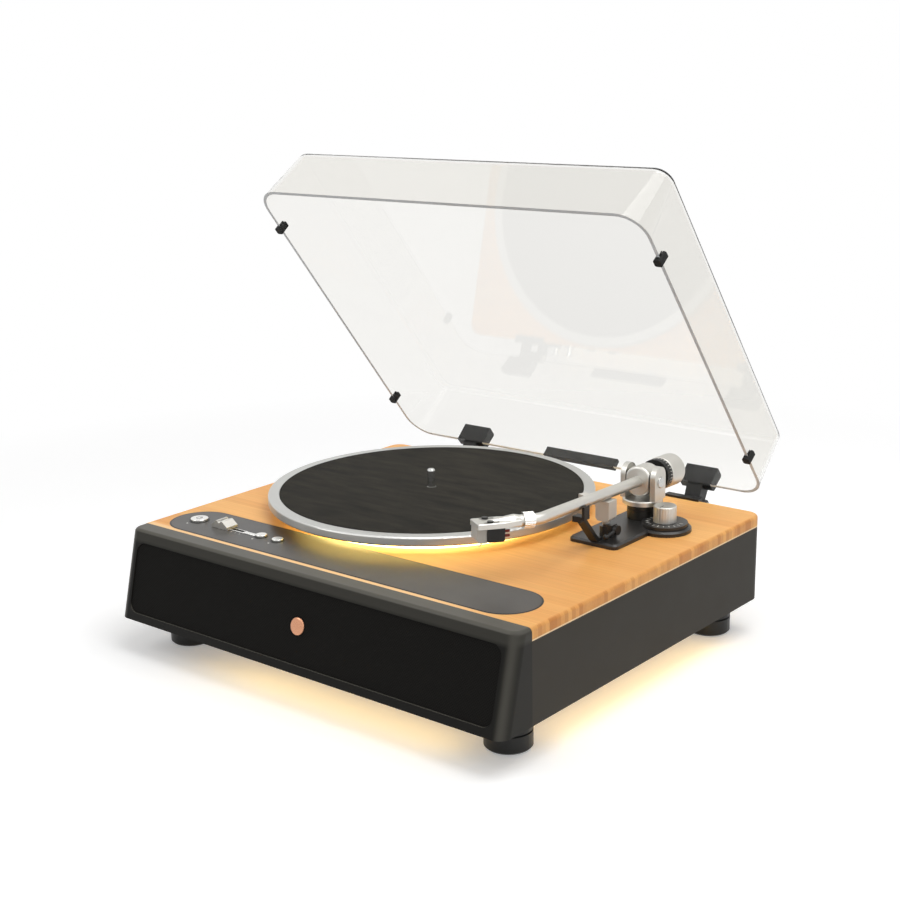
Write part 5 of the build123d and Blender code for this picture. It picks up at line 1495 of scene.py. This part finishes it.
@dataclass
class ToneArm(SubAssembly):
    """Arm, its bearing, counterweight, lift, rest and base.

    Attributes:
        bend: Bend of the tube towards the platter in degrees.
        run: Length from the pivot to the bend's corner.
        head: Length from the corner to the stylus.
        pin_side: Distance of the cartridge's pins from its middle.
        pin_back: Their place behind the stylus.
        pin_drop: Underside of the headshell below the arm's axis.
        body_height: Height of the cartridge, whose thirds the pins stand at.
        sleeve: Radius and length of a pin's sleeve.
        dial_ticks: Number of lines round the tracking-force dial.
        dial_radius: Radius on which they lie.
        dial_offset: Their place along the dial, from its middle.
        dial_tick: Width, length and height of a line.
        dial_ease: Rounding of its edge.
        knob_ticks: Number of lines round the anti-skate knob.
        knob_radius: Radius on which they lie.
        knob_arc: Degrees that they reach to either side.
        knob_tick: Width, length and height of a line.
        knob_ease: Rounding of its edge.
        pointer: Width, length and height of the knob's pointer.
        pointer_ease: Rounding of its edge.
        pointer_place: Distance of the pointer from the knob's middle.
    """

    bend: float = 34.5
    run: float = 0.164
    head: float = 0.051
    pin_side: float = 0.004
    pin_back: float = 0.0193
    pin_drop: float = 0.00225
    body_height: float = 0.0115
    sleeve: Pair = (0.0011, 0.0052)
    dial_ticks: int = 30
    dial_radius: float = 0.014
    dial_offset: float = 0.0022
    dial_tick: Triple = (0.0005, 0.0030, 0.00006)
    dial_ease: float = 0.00002
    knob_ticks: int = 12
    knob_radius: float = 0.015
    knob_arc: float = 100.0
    knob_tick: Triple = (0.0006, 0.0032, 0.00012)
    knob_ease: float = 0.00004
    pointer: Triple = (0.0008, 0.006, 0.0001)
    pointer_ease: float = 0.00003
    pointer_place: float = 0.0055

    def place(self) -> Place:
        """Give the arm's own frame at rest: origin at the pivot, -Y along the tube."""
        lift = joint("arm_lift")
        x = -np.array(lift["axis"])
        y = np.array(joint("weight_shift")["axis"])
        return Place(np.array(lift["pos_m"]), np.stack([x, y, np.cross(x, y)]))

    def head_place(self) -> Place:
        """Give the headshell's frame: origin over the stylus, -Y to its nose."""
        corner = self.place().moved(0.0, -self.run, 0.0).turned(turn("z", -self.bend))
        return corner.moved(0.0, -self.head, 0.0)

    def dress(self) -> None:
        """Give the arm its finishes."""
        dress(["arm_drum", "arm_tube", "headshell", "gimbal_yoke"], SILVER)
        dress(["counterweight", "anti_skate_knob"], SILVER)
        dress(["locking_collar"], POLISHED)
        dress(["pivot_screws", "weight_stub"], STEEL)
        dress(["cartridge", "weight_bush", "force_dial", "cue_lever", "arm_rest"], BLACK)
        dress(["arm_pillar"], PEWTER)
        dress(["arm_base"], DARK)
        dress(["stylus_holder", "lift_platform"], GREY)

    def terminals(self) -> None:
        """Slip sleeves over the cartridge's four pins, a pale pair and a red pair."""
        head = self.head_place()
        r, long = self.sleeve
        tube = [(0.0, 0.0), (r - 0.2 * MM, 0.0), (r, 0.4 * MM), (r, long - 0.6 * MM),
                (r - 0.5 * MM, long), (0.0, long)]
        pairs = ((-1, "terminal_sleeves_pale", MARKING, Slot.GREY),
                 (1, "terminal_sleeves_dark", RED, Slot.BLACK))
        drops = [-self.pin_drop - row * self.body_height / 3 for row in (1, 2)]
        for side, name, finish, slot in pairs:
            pins = [head.moved(side * self.pin_side, self.pin_back, drop) for drop in drops]
            sleeves = [lathe(tube, pin.turned(turn("x", -90.0)), steps=16) for pin in pins]
            piece(name, sleeves, finish, Body.TONEARM)

    def dial_scale(self) -> None:
        """Print lines round the tracking-force dial's edge."""
        arm = self.place()
        along = (middle("force_dial") - arm.origin) @ arm.axes[1]
        ring = arm.moved(0.0, along, 0.0).turned(turn("x", -90.0))
        lines = []
        for angle in np.linspace(0.0, 360.0, self.dial_ticks, endpoint=False):
            spot = ring.turned(turn("z", angle)).moved(0.0, self.dial_radius, self.dial_offset)
            lines.append(block(self.dial_tick, spot.turned(turn("x", -90.0)), self.dial_ease))
        piece("dial_lines", lines, MARKING, Body.DIAL)

    def knob_scale(self) -> None:
        """Print lines round the anti-skate knob's seat and a pointer on the knob."""
        seat = Place(np.array(joint("anti_skate_turn")["pos_m"]))
        marks = []
        for angle in np.linspace(-self.knob_arc, self.knob_arc, self.knob_ticks):
            spot = seat.turned(turn("z", angle)).moved(0.0, -self.knob_radius, 0.0)
            marks.append(block(self.knob_tick, spot, self.knob_ease))
        piece("knob_scale", marks, MARKING, Body.CABINET)
        top = corners("anti_skate_knob")[1][2] - seat.origin[2]
        pointer = block(self.pointer, seat.moved(0.0, -self.pointer_place, top), self.pointer_ease)
        piece("knob_pointer", [pointer], DARK, Body.KNOB)

    def build(self) -> None:
        """Add the arm's small pieces."""
        self.terminals()
        self.dial_scale()
        self.knob_scale()


@dataclass
class DustCover(SubAssembly):
    """Clear cover, its bumpers, hinges and rear bar.

    Attributes:
        skin: How far the satin skin of the cut edge stands off it.
        flat: How far from the rim's plane a corner may lie.
        leaf_width: Width of a hinge leaf.
        rear_rise: Height within which the rear edge lies.
    """

    skin: float = 0.00004
    flat: float = 0.00002
    leaf_width: float = 0.033
    rear_rise: float = 0.004

    def dress(self) -> None:
        """Give the cover its finishes; it throws no shadow, as thin clear plastic hardly does."""
        dress(["dust_cover"], ACRYLIC)
        dress(["lid_bumpers"], RUBBER)
        dress(["rear_bar", "hinge_brackets", "hinge_leaves"], BLACK)
        dress(["hinge_pins"], STEEL)
        frame["nodes"]["dust_cover"].visible_shadow = False

    def build(self) -> None:
        """Give the cut edge its satin skin: the triangles in the rim's plane, moved out along its normal."""
        mesh = frame["nodes"]["dust_cover"].data
        points = np.empty(3 * len(mesh.vertices), dtype=np.float32)
        mesh.vertices.foreach_get("co", points)
        corner = np.empty(len(mesh.loops), dtype=np.int32)
        mesh.loops.foreach_get("vertex_index", corner)
        triangles = points.reshape(-1, 3)[corner].reshape(-1, 3, 3).astype(float)
        lean = np.radians(joint("cover_hinge")["range_deg"][0])
        outward = np.array([0.0, np.sin(lean), -np.cos(lean)])
        level = triangles @ outward
        edge = triangles[level.min(axis=1) > level.max() - self.flat] + self.skin * outward
        long = np.ptp(edge[:, :, 0], axis=1) > self.leaf_width
        rear = long & (edge[:, :, 2].max(axis=1) < edge[:, :, 2].min() + self.rear_rise)
        piece("cut_edge", [Skin(edge[~rear])], CUT_EDGE, Body.COVER)
        self.rear_edge(edge[rear].reshape(-1, 3))

    def rear_edge(self, points: np.ndarray) -> None:
        """Lay the skin along the rear edge only where no leaf or bar stands behind it; its finish is a paler
        copy of the cut edge's, with painted light.

        Args:
            points: Corners of the rear edge, on its two long lines.
        """
        leaf, bar = corners("hinge_leaves"), corners("rear_bar")
        x = [points[:, 0].min(), leaf[0][0], leaf[0][0] + self.leaf_width, bar[0][0],
             bar[1][0], leaf[1][0] - self.leaf_width, leaf[1][0], points[:, 0].max()]
        ends = np.array(x).reshape(-1, 2)
        lines = points[[points[:, 2].argmin(), points[:, 2].argmax()], 1:]
        grids = [[[(a, *line), (b, *line)] for line in lines] for a, b in ends]
        strips = [Patch(np.array(grid), closed_columns=False) for grid in grids]
        piece("rear_edge", strips, PAINTED_LIGHT_EDGE, Body.COVER)


@dataclass
class RearPanel(SubAssembly):
    """Connector plate with its jacks, and the screws on the back.

    Attributes:
        screw: Screw used on the plate and the hinge brackets.
        inset: Distance of the plate's screws from its edges.
        bracket_width: Width of a hinge bracket.
        bracket_plate: Thickness of its plate.
        bracket_screw: Place of its screws from its middle and its lower edge.
        jack_half: Half the width of a phono jack's body.
        flange: Thickness of a phono jack's flange, which its ring lies on.
        ring: Inner radius, outer radius and height of a phono jack's ring, and the width of its bevel.
        nut: The same sizes of a small jack's nut.
        bevel: Height of either bevel.
    """

    screw: Screw = field(default_factory=lambda: Screw(0.0022, 0.0011))
    inset: float = 0.0042
    bracket_width: float = 0.036
    bracket_plate: float = 0.003
    bracket_screw: Pair = (0.009, 0.007)
    jack_half: float = 0.006
    flange: float = 0.002
    ring: tuple[float, ...] = (0.00425, 0.0057, 0.0009, 0.0005)
    nut: tuple[float, ...] = (0.00405, 0.0056, 0.0012, 0.0004)
    bevel: float = 0.0003

    def dress(self) -> None:
        """Give the back its finishes."""
        dress(["connector_plate", "aux_jack", "power_jack"], BLACK)
        dress(["phono_jacks"], POLISHED)

    def build(self) -> None:
        """Screw down the plate and the brackets, and ring the jacks."""
        outward = turn("x", -90.0)
        low, high = corners("connector_plate")
        sides = (low[0] + self.inset, high[0] - self.inset)
        spots = [(x, high[1], z) for x in sides for z in (low[2] + self.inset, high[2] - self.inset)]
        low, high = corners("hinge_brackets")
        back = corners("cabinet_shell")[1][1] + self.bracket_plate
        across, up = self.bracket_screw
        for x in (low[0] + self.bracket_width / 2, high[0] - self.bracket_width / 2):
            spots += [(x - across, back, low[2] + up), (x + across, back, low[2] + up)]
        piece("rear_screws", self.screw.heads(spots, outward), STEEL, Body.CABINET)
        self.jack_rings(outward)

    def collar(self, size: Sequence[float]) -> list[Pair]:
        """Give the profile of a ring or nut with a bevelled edge.

        Args:
            size: Inner radius, outer radius, height and width of the bevel.

        Returns:
            Radius and height of each corner.
        """
        inner, outer, height, width = size
        rim = [(outer, 0.0), (outer, height - self.bevel), (outer - width, height)]
        return [(inner, 0.0), *rim, (inner, height)]

    def jack_rings(self, outward: np.ndarray) -> None:
        """Slip a coloured ring over each phono jack and a nut over the small jacks, as turned profiles.

        Args:
            outward: Turn that points the local Z axis away from the back.
        """
        back = corners("connector_plate")[1][1]
        low, high = corners("phono_jacks")
        ring, nut = self.collar(self.ring), self.collar(self.nut)
        spots = [Place(np.array([x, back + self.flange, (low[2] + high[2]) / 2]), outward)
                 for x in (low[0] + self.jack_half, high[0] - self.jack_half)]
        piece("jack_ring_red", [lathe(ring, spots[0])], RED, Body.CABINET)
        piece("jack_ring_pale", [lathe(ring, spots[1])], MARKING, Body.CABINET)
        nuts = []
        for node in ("aux_jack", "power_jack"):
            x, _, z = middle(node)
            nuts.append(lathe(nut, Place(np.array([x, back, z]), outward), steps=6))
        piece("jack_nuts", nuts, STEEL, Body.CABINET, smooth=20.0)


def main() -> None:
    """Set up the studio, then build and dress every sub-assembly."""
    logging.basicConfig(level=logging.INFO, format="%(name)s: %(message)s")
    Studio().build()
    parts = (Cabinet, FrontSpeaker, ControlPanel, PlatterDrive, ToneArm, DustCover, RearPanel)
    for part in (kind() for kind in parts):
        LOG.info("building %s", type(part).__name__)
        part.dress()
        part.build()


if __name__ == "__main__":
    main()
